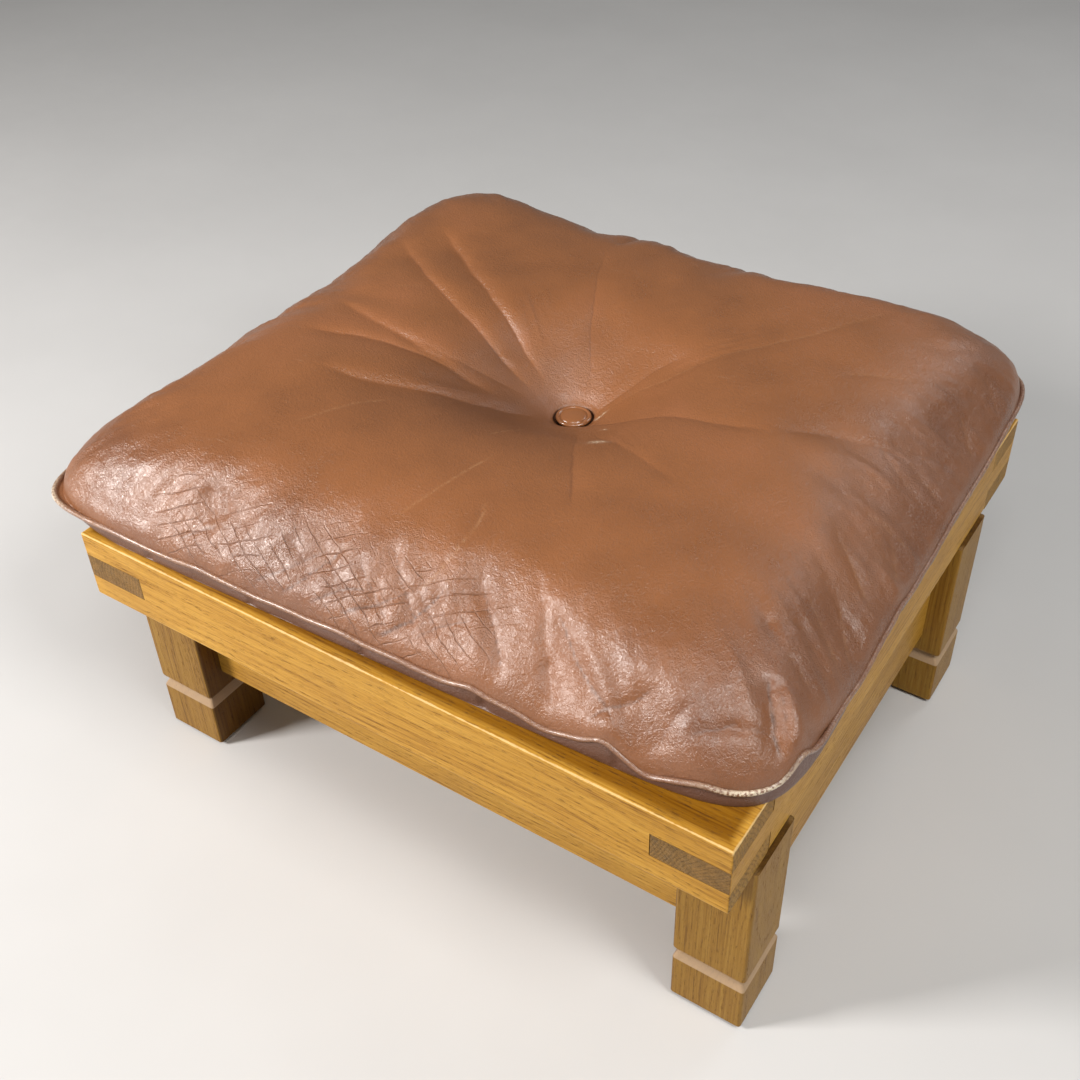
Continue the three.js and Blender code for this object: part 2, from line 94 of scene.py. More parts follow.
def mesh_object(name: str, points: np.ndarray, quads: np.ndarray, tris: np.ndarray | None = None) -> bpy.types.Object:
    """Makes a smooth-shaded mesh object from arrays.

    Args:
        name: Object and mesh name.
        points: Vertices, one row each.
        quads: Four vertex numbers a row.
        tris: Three vertex numbers a row, or None.

    Returns:
        The linked object.
    """
    tris = np.zeros((0, 3), int) if tris is None else tris
    mesh = bpy.data.meshes.new(name)
    loops = np.concatenate([quads.ravel(), tris.ravel()]).astype(np.int32)
    starts = np.concatenate([np.arange(len(quads)) * 4, len(quads) * 4 + np.arange(len(tris)) * 3]).astype(np.int32)
    mesh.vertices.add(len(points))
    mesh.vertices.foreach_set("co", np.asarray(points, np.float32).ravel())
    mesh.loops.add(len(loops))
    mesh.loops.foreach_set("vertex_index", loops)
    mesh.polygons.add(len(starts))
    mesh.polygons.foreach_set("loop_start", starts)
    mesh.polygons.foreach_set("use_smooth", np.ones(len(starts), bool))
    mesh.update(calc_edges=True)
    mesh.validate()
    obj = bpy.data.objects.new(name, mesh)
    bpy.context.scene.collection.objects.link(obj)
    return obj


def ring_faces(rows: int, columns: int, wrap_rows: bool = False) -> np.ndarray:
    """Quads of a grid whose columns close on themselves, and its rows too if asked.

    Args:
        rows: Number of rings.
        columns: Points in each ring.
        wrap_rows: True for a closed tube such as a welt.

    Returns:
        Four vertex numbers a row, turned so that rings that climb anticlockwise face outwards.
    """
    r = np.arange(rows if wrap_rows else rows - 1)[:, None]
    c = np.arange(columns)[None, :]
    here = r * columns
    above = ((r + 1) % rows) * columns
    after = (c + 1) % columns
    faces = np.stack([here + c, here + after, above + after, above + c], axis=-1)
    return faces.reshape(-1, 4)


def pole_faces(pole: int, ring: int, columns: int, inward: bool) -> np.ndarray:
    """Triangles from one pole vertex to a ring that starts at vertex number ring."""
    c = np.arange(columns)
    after = (c + 1) % columns
    pair = (ring + after, ring + c) if inward else (ring + c, ring + after)
    return np.stack([np.full(columns, pole), *pair], axis=-1)


def lathe(name: str, radius: np.ndarray, height: np.ndarray, centre: Vector, sides: int = 48) -> bpy.types.Object:
    """A closed turned piece on the vertical axis: both ends of the profile lie on the axis.

    Args:
        name: Object name.
        radius: Profile radius from the bottom pole to the top pole, poles left out.
        height: Profile height for each radius.
        centre: Where the axis stands, and what height 0 is.
        sides: Points round the axis.

    Returns:
        The turned object.
    """
    angle = np.arange(sides) / sides * 2 * np.pi
    rings = np.stack([
        centre.x + radius[:, None] * np.cos(angle),
        centre.y + radius[:, None] * np.sin(angle),
        centre.z + np.repeat(height[:, None], sides, axis=1),
    ], axis=-1).reshape(-1, 3)
    count = len(rings)
    poles = np.array([[centre.x, centre.y, centre.z + height[0]], [centre.x, centre.y, centre.z + height[-1]]])
    tris = np.concatenate([
        pole_faces(count, 0, sides, True),
        pole_faces(count + 1, count - sides, sides, False),
    ])
    return mesh_object(name, np.concatenate([rings, poles]), ring_faces(len(radius), sides), tris)


def point_attribute(obj: bpy.types.Object, name: str, values: np.ndarray) -> None:
    """Stores one number a vertex under a name that materials read."""
    attribute = obj.data.attributes.new(name, "FLOAT", "POINT")
    attribute.data.foreach_set("value", values.astype(np.float32))


# ---------------------------------------------------------------- shader building
class Nodes:
    """Adds nodes to one tree. A socket given as a value is linked, anything else is set."""

    def __init__(self, tree: bpy.types.NodeTree) -> None:
        """Keeps the tree."""
        self.tree = tree

    def put(self, socket: bpy.types.NodeSocket, value: object) -> None:
        """Links or sets one input."""
        if isinstance(value, bpy.types.NodeSocket):
            self.tree.links.new(value, socket)
        elif value is not None:
            socket.default_value = value

    def add(self, kind: str, inputs: dict | None = None, **settings: object) -> bpy.types.Node:
        """Adds a node.

        Args:
            kind: Node type without the leading ShaderNode.
            inputs: Values or sockets by input name or number.
            settings: Node properties.

        Returns:
            The node.
        """
        node = self.tree.nodes.new("ShaderNode" + kind)
        for key, value in settings.items():
            setattr(node, key, value)
        for key, value in (inputs or {}).items():
            self.put(node.inputs[key], value)
        return node

    def math(self, operation: str, a: object, b: object = None) -> bpy.types.NodeSocket:
        """Output of a Math node."""
        return self.add("Math", {0: a, 1: b}, operation=operation).outputs[0]

    def times(self, a: object, b: object) -> bpy.types.NodeSocket:
        """Product of two values."""
        return self.math("MULTIPLY", a, b)

    def plus(self, a: object, b: object) -> bpy.types.NodeSocket:
        """Sum of two values."""
        return self.math("ADD", a, b)

    def minus(self, a: object, b: object) -> bpy.types.NodeSocket:
        """First value less the second."""
        return self.math("SUBTRACT", a, b)

    def vector(self, operation: str, a: object, b: object = None) -> bpy.types.NodeSocket:
        """Vector output of a Vector Math node."""
        return self.add("VectorMath", {0: a, 1: b}, operation=operation).outputs["Vector"]

    def mix(self, share: object, a: object, b: object, blend: str = "MIX") -> bpy.types.NodeSocket:
        """Colour output of a Mix node."""
        node = self.add("Mix", None, data_type="RGBA", blend_type=blend, clamp_factor=True)
        for index, value in ((0, share), (6, a), (7, b)):
            self.put(node.inputs[index], value)
        return node.outputs[2]

    def band(
        self, value: object, low: float, high: float, to_low: float = 0.0, to_high: float = 1.0,
    ) -> bpy.types.NodeSocket:
        """Smoothstep of a value from low to high, put out between two other values."""
        names = {"Value": value, "From Min": low, "From Max": high, "To Min": to_low, "To Max": to_high}
        return self.add("MapRange", names, interpolation_type="SMOOTHSTEP").outputs[0]

    def ramp(self, value: object, stops: list) -> bpy.types.NodeSocket:
        """Colour ramp output; stops are (place, colour)."""
        node = self.add("ValToRGB", {0: value})
        elements = node.color_ramp.elements
        while len(elements) < len(stops):
            elements.new(0.5)
        for element, (place, colour) in zip(elements, stops):
            element.position = place
            element.color = (*colour, 1.0)
        return node.outputs["Color"]

    def noise(
        self, vector: object, scale: float, detail: float = 3.0, rough: float = 0.5, lean: float = 0.0,
    ) -> bpy.types.NodeSocket:
        """Value output of a Noise texture."""
        names = {"Vector": vector, "Scale": scale, "Detail": detail, "Roughness": rough, "Distortion": lean}
        return self.add("TexNoise", names).outputs[0]

    def stretch(self, vector: object, scale: tuple, shift: tuple = (0.0, 0.0, 0.0)) -> bpy.types.NodeSocket:
        """Vector output of a Mapping node that scales and shifts."""
        return self.add("Mapping", {"Vector": vector, "Scale": scale, "Location": shift}).outputs[0]

    def group(self, tree: bpy.types.NodeTree, inputs: dict) -> bpy.types.Node:
        """Places a node group with its own values."""
        node = self.tree.nodes.new("ShaderNodeGroup")
        node.node_tree = tree
        for key, value in inputs.items():
            self.put(node.inputs[key], value)
        return node


def open_group(name: str, inputs: list, outputs: list) -> tuple:
    """Starts a node group with named sockets.

    Args:
        name: Group name.
        inputs: (name, socket kind) pairs, kind being Float, Vector or Color.
        outputs: The same for outputs.

    Returns:
        The tree, its Nodes helper, the group's input sockets by name and its output node.
    """
    tree = bpy.data.node_groups.new(name, "ShaderNodeTree")
    for pairs, way in ((inputs, "INPUT"), (outputs, "OUTPUT")):
        for label, kind in pairs:
            tree.interface.new_socket(name=label, in_out=way, socket_type="NodeSocket" + kind)
    source = tree.nodes.new("NodeGroupInput")
    sink = tree.nodes.new("NodeGroupOutput")
    return tree, Nodes(tree), source.outputs, sink.inputs


def new_material(name: str) -> tuple:
    """A material with a Principled shader.

    Args:
        name: Material name.

    Returns:
        The material, its Nodes helper and the Principled node.
    """
    material = bpy.data.materials.new(name)
    material.use_nodes = True
    nodes = Nodes(material.node_tree)
    shader = next(n for n in material.node_tree.nodes if n.type == "BSDF_PRINCIPLED")
    return material, nodes, shader


def bump(nodes: Nodes, shader: bpy.types.Node, layers: list) -> None:
    """Chains Bump nodes, coarse first, into the shader's Normal.

    Args:
        nodes: Helper of the material.
        shader: Principled node.
        layers: (height socket, distance in metres, strength) for each.
    """
    normal = None
    for height, distance, strength in layers:
        node = nodes.add("Bump", {"Height": height, "Distance": distance, "Strength": strength, "Normal": normal})
        normal = node.outputs[0]
    nodes.put(shader.inputs["Normal"], normal)


# ---------------------------------------------------------------- shared effects
def make_arris_wear_and_highlight() -> bpy.types.NodeTree:
    """Mask of the arrises of a box: near where the second smallest distance to its faces is 0, broken up by noise.

    Returns:
        The group, with Vector, Low, High and Width in, Mask out, and Inside, the distance to the nearest arris.
    """
    tree, n, i, o = open_group(
        "arris_wear_and_highlight",
        [("Vector", "Vector"), ("Low", "Vector"), ("High", "Vector"), ("Width", "Float")],
        [("Mask", "Float"), ("Inside", "Float")],
    )
    below = n.vector("SUBTRACT", i["Vector"], i["Low"])
    above = n.vector("SUBTRACT", i["High"], i["Vector"])
    nearest = n.vector("MINIMUM", n.vector("ABSOLUTE", below), n.vector("ABSOLUTE", above))
    part = n.add("SeparateXYZ", {0: nearest}).outputs
    small = n.math("MINIMUM", part[0], part[1])
    large = n.math("MAXIMUM", part[0], part[1])
    second = n.math("MAXIMUM", small, n.math("MINIMUM", large, part[2]))
    coarse = n.noise(i["Vector"], 24.0, 3.0)
    fine = n.noise(i["Vector"], 260.0, 3.0)
    ragged = n.plus(n.times(coarse, 1.5), n.times(fine, 0.9))
    reach = n.times(i["Width"], n.minus(ragged, 0.35))
    mask = n.minus(1.0, n.math("DIVIDE", second, n.math("MAXIMUM", reach, 1e-5)))
    n.put(o["Mask"], n.band(mask, 0.0, 0.55))
    n.put(o["Inside"], second)
    return tree


def make_oak_figure() -> bpy.types.NodeTree:
    """Solid oak, so that long grain and end grain agree on every face. X runs along the grain.

    Rings are a wave of the distance from the pith line, bent by slow noise. Fibres and pores are noise drawn out
    along X. Rays are noise in the angle about the pith, which shows as lines on the end grain.

    Returns:
        The group, with Vector, Pith, Spacing and End in and Tone, Pores, Rays and Height out.
    """
    tree, n, i, o = open_group(
        "oak_figure",
        [("Vector", "Vector"), ("Pith", "Vector"), ("Spacing", "Float"), ("End", "Float")],
        [("Tone", "Float"), ("Pores", "Float"), ("Rays", "Float"), ("Height", "Float")],
    )
    slow = n.add("TexNoise", {"Vector": n.stretch(i["Vector"], (2.2, 9.0, 9.0)), "Scale": 1.0, "Detail": 3.0})
    bend = n.add("VectorMath", {0: slow.outputs["Color"], "Scale": 0.05}, operation="SCALE").outputs[0]
    spot = n.vector("ADD", n.vector("SUBTRACT", i["Vector"], i["Pith"]), bend)
    part = n.add("SeparateXYZ", {0: spot}).outputs
    radius = n.math("SQRT", n.plus(n.math("POWER", part[1], 2.0), n.math("POWER", part[2], 2.0)))
    turns = n.math("DIVIDE", radius, i["Spacing"])
    saw = n.math("FRACT", turns)
    early = n.minus(1.0, n.band(saw, 0.0, 0.45))
    late = n.band(saw, 0.82, 1.0)
    ring = n.plus(early, n.times(late, 0.6))
    fibre = n.noise(n.stretch(i["Vector"], (14.0, 620.0, 620.0)), 1.0, 4.0, 0.6)
    streak = n.noise(n.stretch(i["Vector"], (5.0, 120.0, 120.0)), 1.0, 4.0, 0.6)
    broad = n.noise(n.stretch(i["Vector"], (2.0, 16.0, 16.0)), 1.0, 3.0)
    dash = n.noise(n.stretch(i["Vector"], (110.0, 760.0, 760.0)), 1.0, 3.0, 0.6)
    pores = n.times(n.band(dash, 0.54, 0.64), n.plus(0.35, n.times(ring, 0.65)))
    angle = n.math("ARCTAN2", part[1], part[2])
    lines = n.add("CombineXYZ", {0: n.times(angle, 900.0), 1: n.times(radius, 60.0)}).outputs[0]
    rays = n.band(n.noise(lines, 1.0, 2.0), 0.52, 0.7)
    tone = n.times(n.minus(streak, 0.5), 0.75)
    tone = n.plus(tone, n.times(n.minus(broad, 0.5), 0.7))
    tone = n.plus(tone, n.times(n.minus(fibre, 0.5), 1.25))
    tone = n.plus(tone, n.times(n.minus(0.5, ring), 0.16))
    n.put(o["Tone"], n.plus(0.5, tone))
    n.put(o["Pores"], pores)
    n.put(o["Rays"], n.times(rays, i["End"]))
    height = n.minus(n.times(fibre, 0.5), pores)
    n.put(o["Height"], n.minus(height, n.times(n.times(ring, i["End"]), 0.6)))
    return tree


def make_hide() -> bpy.types.NodeTree:
    """Grained leather: pebbles are cell edges under finer noise, tone is slow noise with redder and yellower patches.

    Returns:
        The group, with Vector and Pebble (a cell's size in metres) in and Tone, Grain, Scuff and Swell out.
    """
    tree, n, i, o = open_group(
        "hide_grain",
        [("Vector", "Vector"), ("Pebble", "Float")],
        [("Tone", "Float"), ("Grain", "Float"), ("Scuff", "Float"), ("Swell", "Float")],
    )
    warp = n.add("TexNoise", {"Vector": i["Vector"], "Scale": 190.0, "Detail": 2.0}).outputs["Color"]
    shift = n.add("VectorMath", {0: warp, "Scale": 0.004}, operation="SCALE").outputs[0]
    place = n.vector("ADD", i["Vector"], shift)
    per_metre = n.math("DIVIDE", 1.0, i["Pebble"])
    cells = n.add("TexVoronoi", {"Vector": place, "Scale": per_metre}, feature="DISTANCE_TO_EDGE").outputs["Distance"]
    fine = n.noise(place, 340.0, 4.0, 0.65)
    uneven = n.noise(i["Vector"], 45.0, 3.0)
    grain = n.plus(n.times(n.band(cells, 0.0, 0.3), 0.45), n.band(fine, 0.3, 0.7))
    n.put(o["Grain"], n.times(grain, n.plus(0.35, uneven)))
    wide = n.noise(i["Vector"], 3.4, 3.0, 0.5, 0.4)
    middle = n.noise(i["Vector"], 17.0, 4.0, 0.55)
    n.put(o["Tone"], n.plus(n.times(wide, 0.62), n.times(middle, 0.38)))
    scratch = n.noise(n.stretch(i["Vector"], (46.0, 420.0, 160.0)), 1.0, 2.0)
    n.put(o["Scuff"], n.times(n.band(scratch, 0.66, 0.78), n.band(n.noise(i["Vector"], 7.0), 0.52, 0.66)))
    n.put(o["Swell"], n.noise(i["Vector"], 95.0, 5.0, 0.62, 0.6))
    return tree


def make_crease_net() -> bpy.types.NodeTree:
    """Diamond net of fine creases: two families of lines that cross, each broken up by noise.

    A line is where the distance along its family, over the spacing, comes near a whole number and a half. Wrinkles
    are the places where a drawn-out noise crosses its middle value.

    Returns:
        The group, with Vector, Spacing and Amount in, and Line and Wrinkle out, 0 on open leather and 1 in a crease.
    """
    tree, n, i, o = open_group(
        "crease_net",
        [("Vector", "Vector"), ("Spacing", "Float"), ("Amount", "Float")],
        [("Line", "Float"), ("Wrinkle", "Float")],
    )
    bend = n.add("TexNoise", {"Vector": i["Vector"], "Scale": 16.0, "Detail": 3.0}).outputs["Color"]
    place = n.vector("ADD", i["Vector"], n.add("VectorMath", {0: bend, "Scale": 0.02}, operation="SCALE").outputs[0])
    part = n.add("SeparateXYZ", {0: place}).outputs
    back = n.plus(part[1], n.times(part[2], 0.9))
    lines = None
    families = ((0.82, 1.0, 1.0), (-0.78, 1.12, 0.95))
    for k, (slope, share, strength) in enumerate(families):
        run = n.plus(n.times(part[0], slope), back)
        turns = n.math("DIVIDE", run, n.times(i["Spacing"], share))
        near = n.math("ABSOLUTE", n.minus(n.math("FRACT", turns), 0.5))
        line = n.band(near, 0.07, 0.0)
        shown = n.band(n.noise(n.stretch(i["Vector"], (1, 1, 1), (3.0 * k, 7.0, 1.0)), 22.0, 2.0), 0.4, 0.6)
        line = n.times(n.times(line, shown), strength)
        lines = line if lines is None else n.math("MAXIMUM", lines, line)
    n.put(o["Line"], n.times(lines, i["Amount"]))
    crinkle = n.noise(n.stretch(place, (120.0, 62.0, 62.0)), 1.0, 5.0, 0.6, 0.8)
    ridged = n.math("ABSOLUTE", n.minus(crinkle, 0.5))
    n.put(o["Wrinkle"], n.times(n.band(ridged, 0.07, 0.0), n.plus(0.06, i["Amount"])))
    return tree


# ---------------------------------------------------------------- finishes
class Grain(Enum):
    """Which way a board's grain runs."""

    ACROSS = "x"
    DEEP = "y"
    UPRIGHT = "z"


@dataclass(frozen=True)
class OakFinish:
    """Oiled oak with pale top arrises, partly rubbed wear and partly a painted highlight, for one board."""

    node: str
    grain: Grain
    pith: tuple
    spacing: float = 0.0034
    light: tuple = (0.62, 0.34, 0.055)
    mid: tuple = (0.46, 0.226, 0.026)
    dark: tuple = (0.24, 0.10, 0.010)
    end_tone: tuple = (0.18, 0.097, 0.027)
    # Width of the pale arris band: partly rubbed wear, partly painted highlight.
    wear: float = 0.0019
    # Below 1 darkens the whole board, as painted shade.
    value: float = 1.0
    groove: tuple | None = None
    # Which way along x a leg's inner face looks, 0 for none; that face gets painted shade.
    inner: float = 0.0

    def material(self, figure: bpy.types.NodeTree, arris: bpy.types.NodeTree) -> bpy.types.Material:
        """Builds the material.

        Args:
            figure: Oak figure group.
            arris: Arris wear and highlight group.

        Returns:
            The board's material.
        """
        low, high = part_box(self.node)
        material, n, shader = new_material("oak_" + self.node)
        source = n.add("TexCoord").outputs
        order = {"x": (0, 1, 2), "y": (1, 2, 0), "z": (2, 0, 1)}[self.grain.value]
        place = n.add("SeparateXYZ", {0: source["Object"]}).outputs
        facing = n.add("SeparateXYZ", {0: source["Normal"]}).outputs
        along = n.add("CombineXYZ", {0: place[order[0]], 1: place[order[1]], 2: place[order[2]]}).outputs[0]
        end = n.band(n.math("ABSOLUTE", facing[order[0]]), 0.72, 0.9)
        centre = (low + high) / 2
        pith = (0.0, centre[order[1]] + self.pith[0], centre[order[2]] + self.pith[1])
        oak = n.group(figure, {"Vector": along, "Pith": pith, "Spacing": self.spacing, "End": end}).outputs
        worn = n.group(arris, {
            "Vector": source["Object"], "Low": tuple(low), "High": tuple(high), "Width": self.wear,
        }).outputs
        # A value below 1 is painted shade: the legs under the frame, the aprons set back under the rails and the right
        # rail's side.
        shade = [tuple(c * self.value for c in tone) for tone in (self.dark, self.mid, self.light)]
        colour = n.ramp(oak["Tone"], [(0.12, shade[0]), (0.42, shade[1]), (0.86, shade[2])])
        colour = n.mix(n.times(oak["Pores"], 0.6), colour, (0.12, 0.055, 0.015, 1))
        figured = n.ramp(oak["Tone"], [
            (0.1, tuple(c * 0.45 for c in self.end_tone)),
            (0.5, self.end_tone),
            (0.9, tuple(c * 1.7 for c in self.end_tone)),
        ])
        figured = n.mix(n.times(oak["Rays"], 0.5), figured, (0.33, 0.25, 0.15, 1))
        figured = n.mix(n.times(oak["Pores"], 0.5), figured, (0.05, 0.03, 0.018, 1))
        colour = n.mix(end, colour, figured)
        grime = n.noise(source["Object"], 9.0, 4.0, 0.6)
        colour = n.mix(n.times(n.band(grime, 0.5, 0.75), 0.22), colour, (0.22, 0.105, 0.03, 1))
        top_gap = n.minus(high.z, place[2])
        upper = n.band(top_gap, 0.0055, 0.0015)
        # Painted shade with part of the wood's own colour: top faces turn darker and more olive away from their
        # arrises, as the ledge does in the cushion's shade.
        darkened = n.times(n.band(facing[2], 0.75, 0.95), n.band(worn["Inside"], 0.002, 0.011))
        colour = n.mix(darkened, colour, (0.43, 0.34, 0.13, 1), "MULTIPLY")
        # Pale cream on the top arrises: partly rubbed wear, partly a painted highlight on the rounded edge.
        colour = n.mix(n.times(n.times(worn["Mask"], upper), 0.6), colour, (0.84, 0.6, 0.28, 1))
        # Painted shade on each leg's inner face, where the frame shades it.
        if self.inner:
            inner_shade = n.band(n.times(facing[0], self.inner), 0.5, 0.8)
            colour = n.mix(n.times(inner_shade, 0.85), colour, (0.3, 0.22, 0.12, 1), "MULTIPLY")
        if self.groove:
            # Pale on the groove's upward-facing lower flank: partly raw sawn wood, partly a painted highlight where
            # the flank catches the light.
            sawn_and_lit = n.times(n.band(place[2], self.groove[0], self.groove[0] + 0.001),
                          n.band(place[2], self.groove[1], self.groove[1] - 0.001))
            sawn_and_lit = n.times(sawn_and_lit, n.band(facing[2], 0.15, 0.35))
            colour = n.mix(n.times(sawn_and_lit, 0.75), colour, (0.46, 0.33, 0.22, 1))
        n.put(shader.inputs["Base Color"], colour)
        rough = n.plus(0.4, n.times(oak["Pores"], 0.25))
        rough = n.plus(rough, n.times(end, 0.16))
        n.put(shader.inputs["Roughness"], n.plus(rough, n.times(worn["Mask"], 0.1)))
        shader.inputs["Specular IOR Level"].default_value = 0.16
        dents = n.noise(source["Object"], 38.0, 2.0)
        bump(n, shader, [(dents, 0.0012, 0.25), (oak["Height"], 0.00035, 0.55)])
        return material


@dataclass(frozen=True)
class LeatherFinish:
    """Brown grained hide, polished by use. Reads the point attributes named in MARKS."""

    name: str
    base: tuple = (0.280, 0.106, 0.036)
    warm: tuple = (0.312, 0.116, 0.042)
    deep: tuple = (0.232, 0.089, 0.032)
    lower: tuple = (0.135, 0.062, 0.04)
    rough: float = 0.31
    coat: float = 0.04
    pebble: float = 0.0026
    grain_depth: float = 0.00036
    swell_depth: float = 0.0008

    def material(self, hide: bpy.types.NodeTree, net: bpy.types.NodeTree) -> bpy.types.Material:
        """Builds the material.

        Args:
            hide: Hide grain group.
            net: Crease net group.

        Returns:
            The leather.
        """
        material, n, shader = new_material(self.name)
        source = n.add("TexCoord").outputs
        skin = n.group(hide, {"Vector": source["Object"], "Pebble": self.pebble}).outputs
        marks = {
            name: n.add("Attribute", None, attribute_name=name).outputs["Fac"]
            for name in MARKS
        }
        fine = n.group(net, {"Vector": source["Object"], "Spacing": 0.0195, "Amount": marks["net"]}).outputs
        colour = n.ramp(skin["Tone"], [(0.34, self.deep), (0.5, self.base), (0.66, self.warm)])
        colour = n.mix(n.times(skin["Scuff"], 0.35), colour, (0.5, 0.3, 0.19, 1))
        # Darker towards the rim of the top panel and on the lower panel, more where the tone is low.
        darkened = n.times(marks["rim"], n.band(skin["Tone"], 0.3, 0.62, 0.42, 0.12))
        colour = n.mix(darkened, colour, (0.12, 0.05, 0.034, 1))
        # The under mark darkens towards the lower colour: painted shade on the lower panel and underside beneath the
        # rolled edge, the cord's own darker mauve on the welt.
        colour = n.mix(marks["under"], colour, (*self.lower, 1))
        valley = n.minus(1.0, n.band(skin["Grain"], 0.15, 0.7))
        colour = n.mix(n.times(valley, 0.07), colour, (0.1, 0.036, 0.015, 1))
        # Painted shade from the crease mark: fold lines, the hollow by the button, the button's well and the seam
        # above the welt.
        colour = n.mix(n.times(n.band(marks["crease"], 0.05, 0.9), 0.7), colour, (0.06, 0.02, 0.009, 1))
        # Painted shade in the fine net's crease lines and wrinkles.
        colour = n.mix(n.times(fine["Line"], 0.36), colour, (0.08, 0.028, 0.014, 1))
        colour = n.mix(n.times(fine["Wrinkle"], 0.08), colour, (0.12, 0.045, 0.02, 1))
        broken = n.times(marks["pale"], n.band(n.noise(source["Object"], 320.0, 3.0), 0.35, 0.6))
        colour = n.mix(n.times(broken, 0.5), colour, (0.5, 0.27, 0.13, 1))
        flaked = n.times(marks["worn"], n.band(n.noise(source["Object"], 420.0, 3.0), 0.36, 0.55))
        colour = n.mix(flaked, colour, (0.78, 0.66, 0.48, 1))
        n.put(shader.inputs["Base Color"], colour)
        rough = n.plus(self.rough, n.times(n.minus(skin["Tone"], 0.5), 0.4))
        rough = n.plus(rough, n.times(valley, 0.08))
        rough = n.plus(rough, n.times(marks["under"], 0.1))
        n.put(shader.inputs["Roughness"], n.plus(rough, n.times(marks["crease"], 0.15)))
        shader.inputs["Specular IOR Level"].default_value = 0.9
        shader.inputs["Coat Weight"].default_value = self.coat
        shader.inputs["Coat Roughness"].default_value = 0.22
        pulled = n.plus(fine["Line"], n.times(fine["Wrinkle"], 0.3))
        rumple = n.times(skin["Swell"], n.plus(0.25, marks["rim"]))
        bump(n, shader, [
            (rumple, self.swell_depth, 0.7),
            (n.minus(1.0, pulled), 0.0008, 0.85),
            (skin["Grain"], self.grain_depth, 0.8),
        ])
        return material


@dataclass(frozen=True)
class SheetFinish:
    """Birch plywood: plain veneer on its faces and its plies in bands down its edges."""

    name: str
    ply: float = 0.0015
    face: tuple = (0.62, 0.44, 0.25)
    core: tuple = (0.36, 0.21, 0.1)

    def material(self, base: float) -> bpy.types.Material:
        """Builds the material for a panel whose underside is at height base."""
        material, n, shader = new_material(self.name)
        source = n.add("TexCoord").outputs
        height = n.minus(n.add("SeparateXYZ", {0: source["Object"]}).outputs[2], base)
        upright = n.math("ABSOLUTE", n.add("SeparateXYZ", {0: source["Normal"]}).outputs[2])
        edge = n.minus(1.0, n.band(upright, 0.4, 0.7))
        fibre = n.noise(n.stretch(source["Object"], (3.0, 190.0, 190.0)), 1.0, 5.0, 0.62)
        waves = n.noise(n.stretch(source["Object"], (1.4, 11.0, 11.0)), 1.0, 3.0, 0.5, 0.8)
        figure = n.plus(n.times(fibre, 0.5), n.times(waves, 0.5))
        veneer = n.ramp(figure, [(0.32, (0.5, 0.32, 0.16)), (0.5, self.face), (0.7, (0.72, 0.55, 0.34))])
        layer = n.math("PINGPONG", height, self.ply)
        band = n.band(n.math("DIVIDE", layer, self.ply), 0.42, 0.58)
        plies = n.mix(band, (*self.core, 1), (*self.face, 1))
        speck = n.noise(source["Object"], 900.0, 2.0)
        plies = n.mix(n.times(speck, 0.35), plies, (0.2, 0.11, 0.05, 1))
        n.put(shader.inputs["Base Color"], n.mix(edge, veneer, plies))
        n.put(shader.inputs["Roughness"], n.band(figure, 0.3, 0.7, 0.5, 0.68))
        bump(n, shader, [(figure, 0.0003, 0.5)])
        return material


@dataclass(frozen=True)
class PlainWoodFinish:
    """Beech strip: straight fine grain with short flecks."""

    name: str
    grain: Grain

    def material(self) -> bpy.types.Material:
        """Builds the material."""
        material, n, shader = new_material(self.name)
        source = n.add("TexCoord").outputs["Object"]
        scale = (4.0, 260.0, 260.0) if self.grain is Grain.ACROSS else (260.0, 4.0, 260.0)
        fleck_scale = (120.0, 700.0, 700.0) if self.grain is Grain.ACROSS else (700.0, 120.0, 700.0)
        fibre = n.noise(n.stretch(source, scale), 1.0, 4.0, 0.6)
        fleck = n.band(n.noise(n.stretch(source, fleck_scale), 1.0, 2.0), 0.6, 0.7)
        colour = n.ramp(fibre, [(0.3, (0.42, 0.25, 0.13)), (0.7, (0.62, 0.42, 0.25))])
        n.put(shader.inputs["Base Color"], n.mix(n.times(fleck, 0.5), colour, (0.3, 0.15, 0.07, 1)))
        n.put(shader.inputs["Roughness"], n.band(fibre, 0.3, 0.7, 0.5, 0.64))
        bump(n, shader, [(fibre, 0.0003, 0.5)])
        return material


def steel_material() -> bpy.types.Material:
    """Zinc-plated steel with turning marks and a little tarnish."""
    material, n, shader = new_material("zinc_steel")
    source = n.add("TexCoord").outputs["Object"]
    tarnish = n.noise(source, 400.0, 4.0, 0.6)
    colour = n.ramp(tarnish, [(0.35, (0.36, 0.35, 0.32)), (0.65, (0.66, 0.66, 0.63))])
    n.put(shader.inputs["Base Color"], colour)
    n.put(shader.inputs["Metallic"], n.band(tarnish, 0.2, 0.4, 0.85, 1.0))
    n.put(shader.inputs["Roughness"], n.band(tarnish, 0.3, 0.7, 0.42, 0.28))
    bump(n, shader, [(n.noise(source, 2600.0, 2.0), 0.00008, 0.4)])
    return material


def felt_material() -> bpy.types.Material:
    """Pressed black felt: matted fibres at two scales."""
    material, n, shader = new_material("black_felt")
    source = n.add("TexCoord").outputs["Object"]
    mat = n.noise(source, 900.0, 5.0, 0.7, 1.5)
    colour = n.ramp(mat, [(0.3, (0.008, 0.007, 0.006)), (0.7, (0.035, 0.031, 0.027))])
    n.put(shader.inputs["Base Color"], colour)
    n.put(shader.inputs["Roughness"], n.band(mat, 0.3, 0.7, 0.9, 1.0))
    shader.inputs["Sheen Weight"].default_value = 0.3
    bump(n, shader, [(mat, 0.0006, 0.8)])
    return material


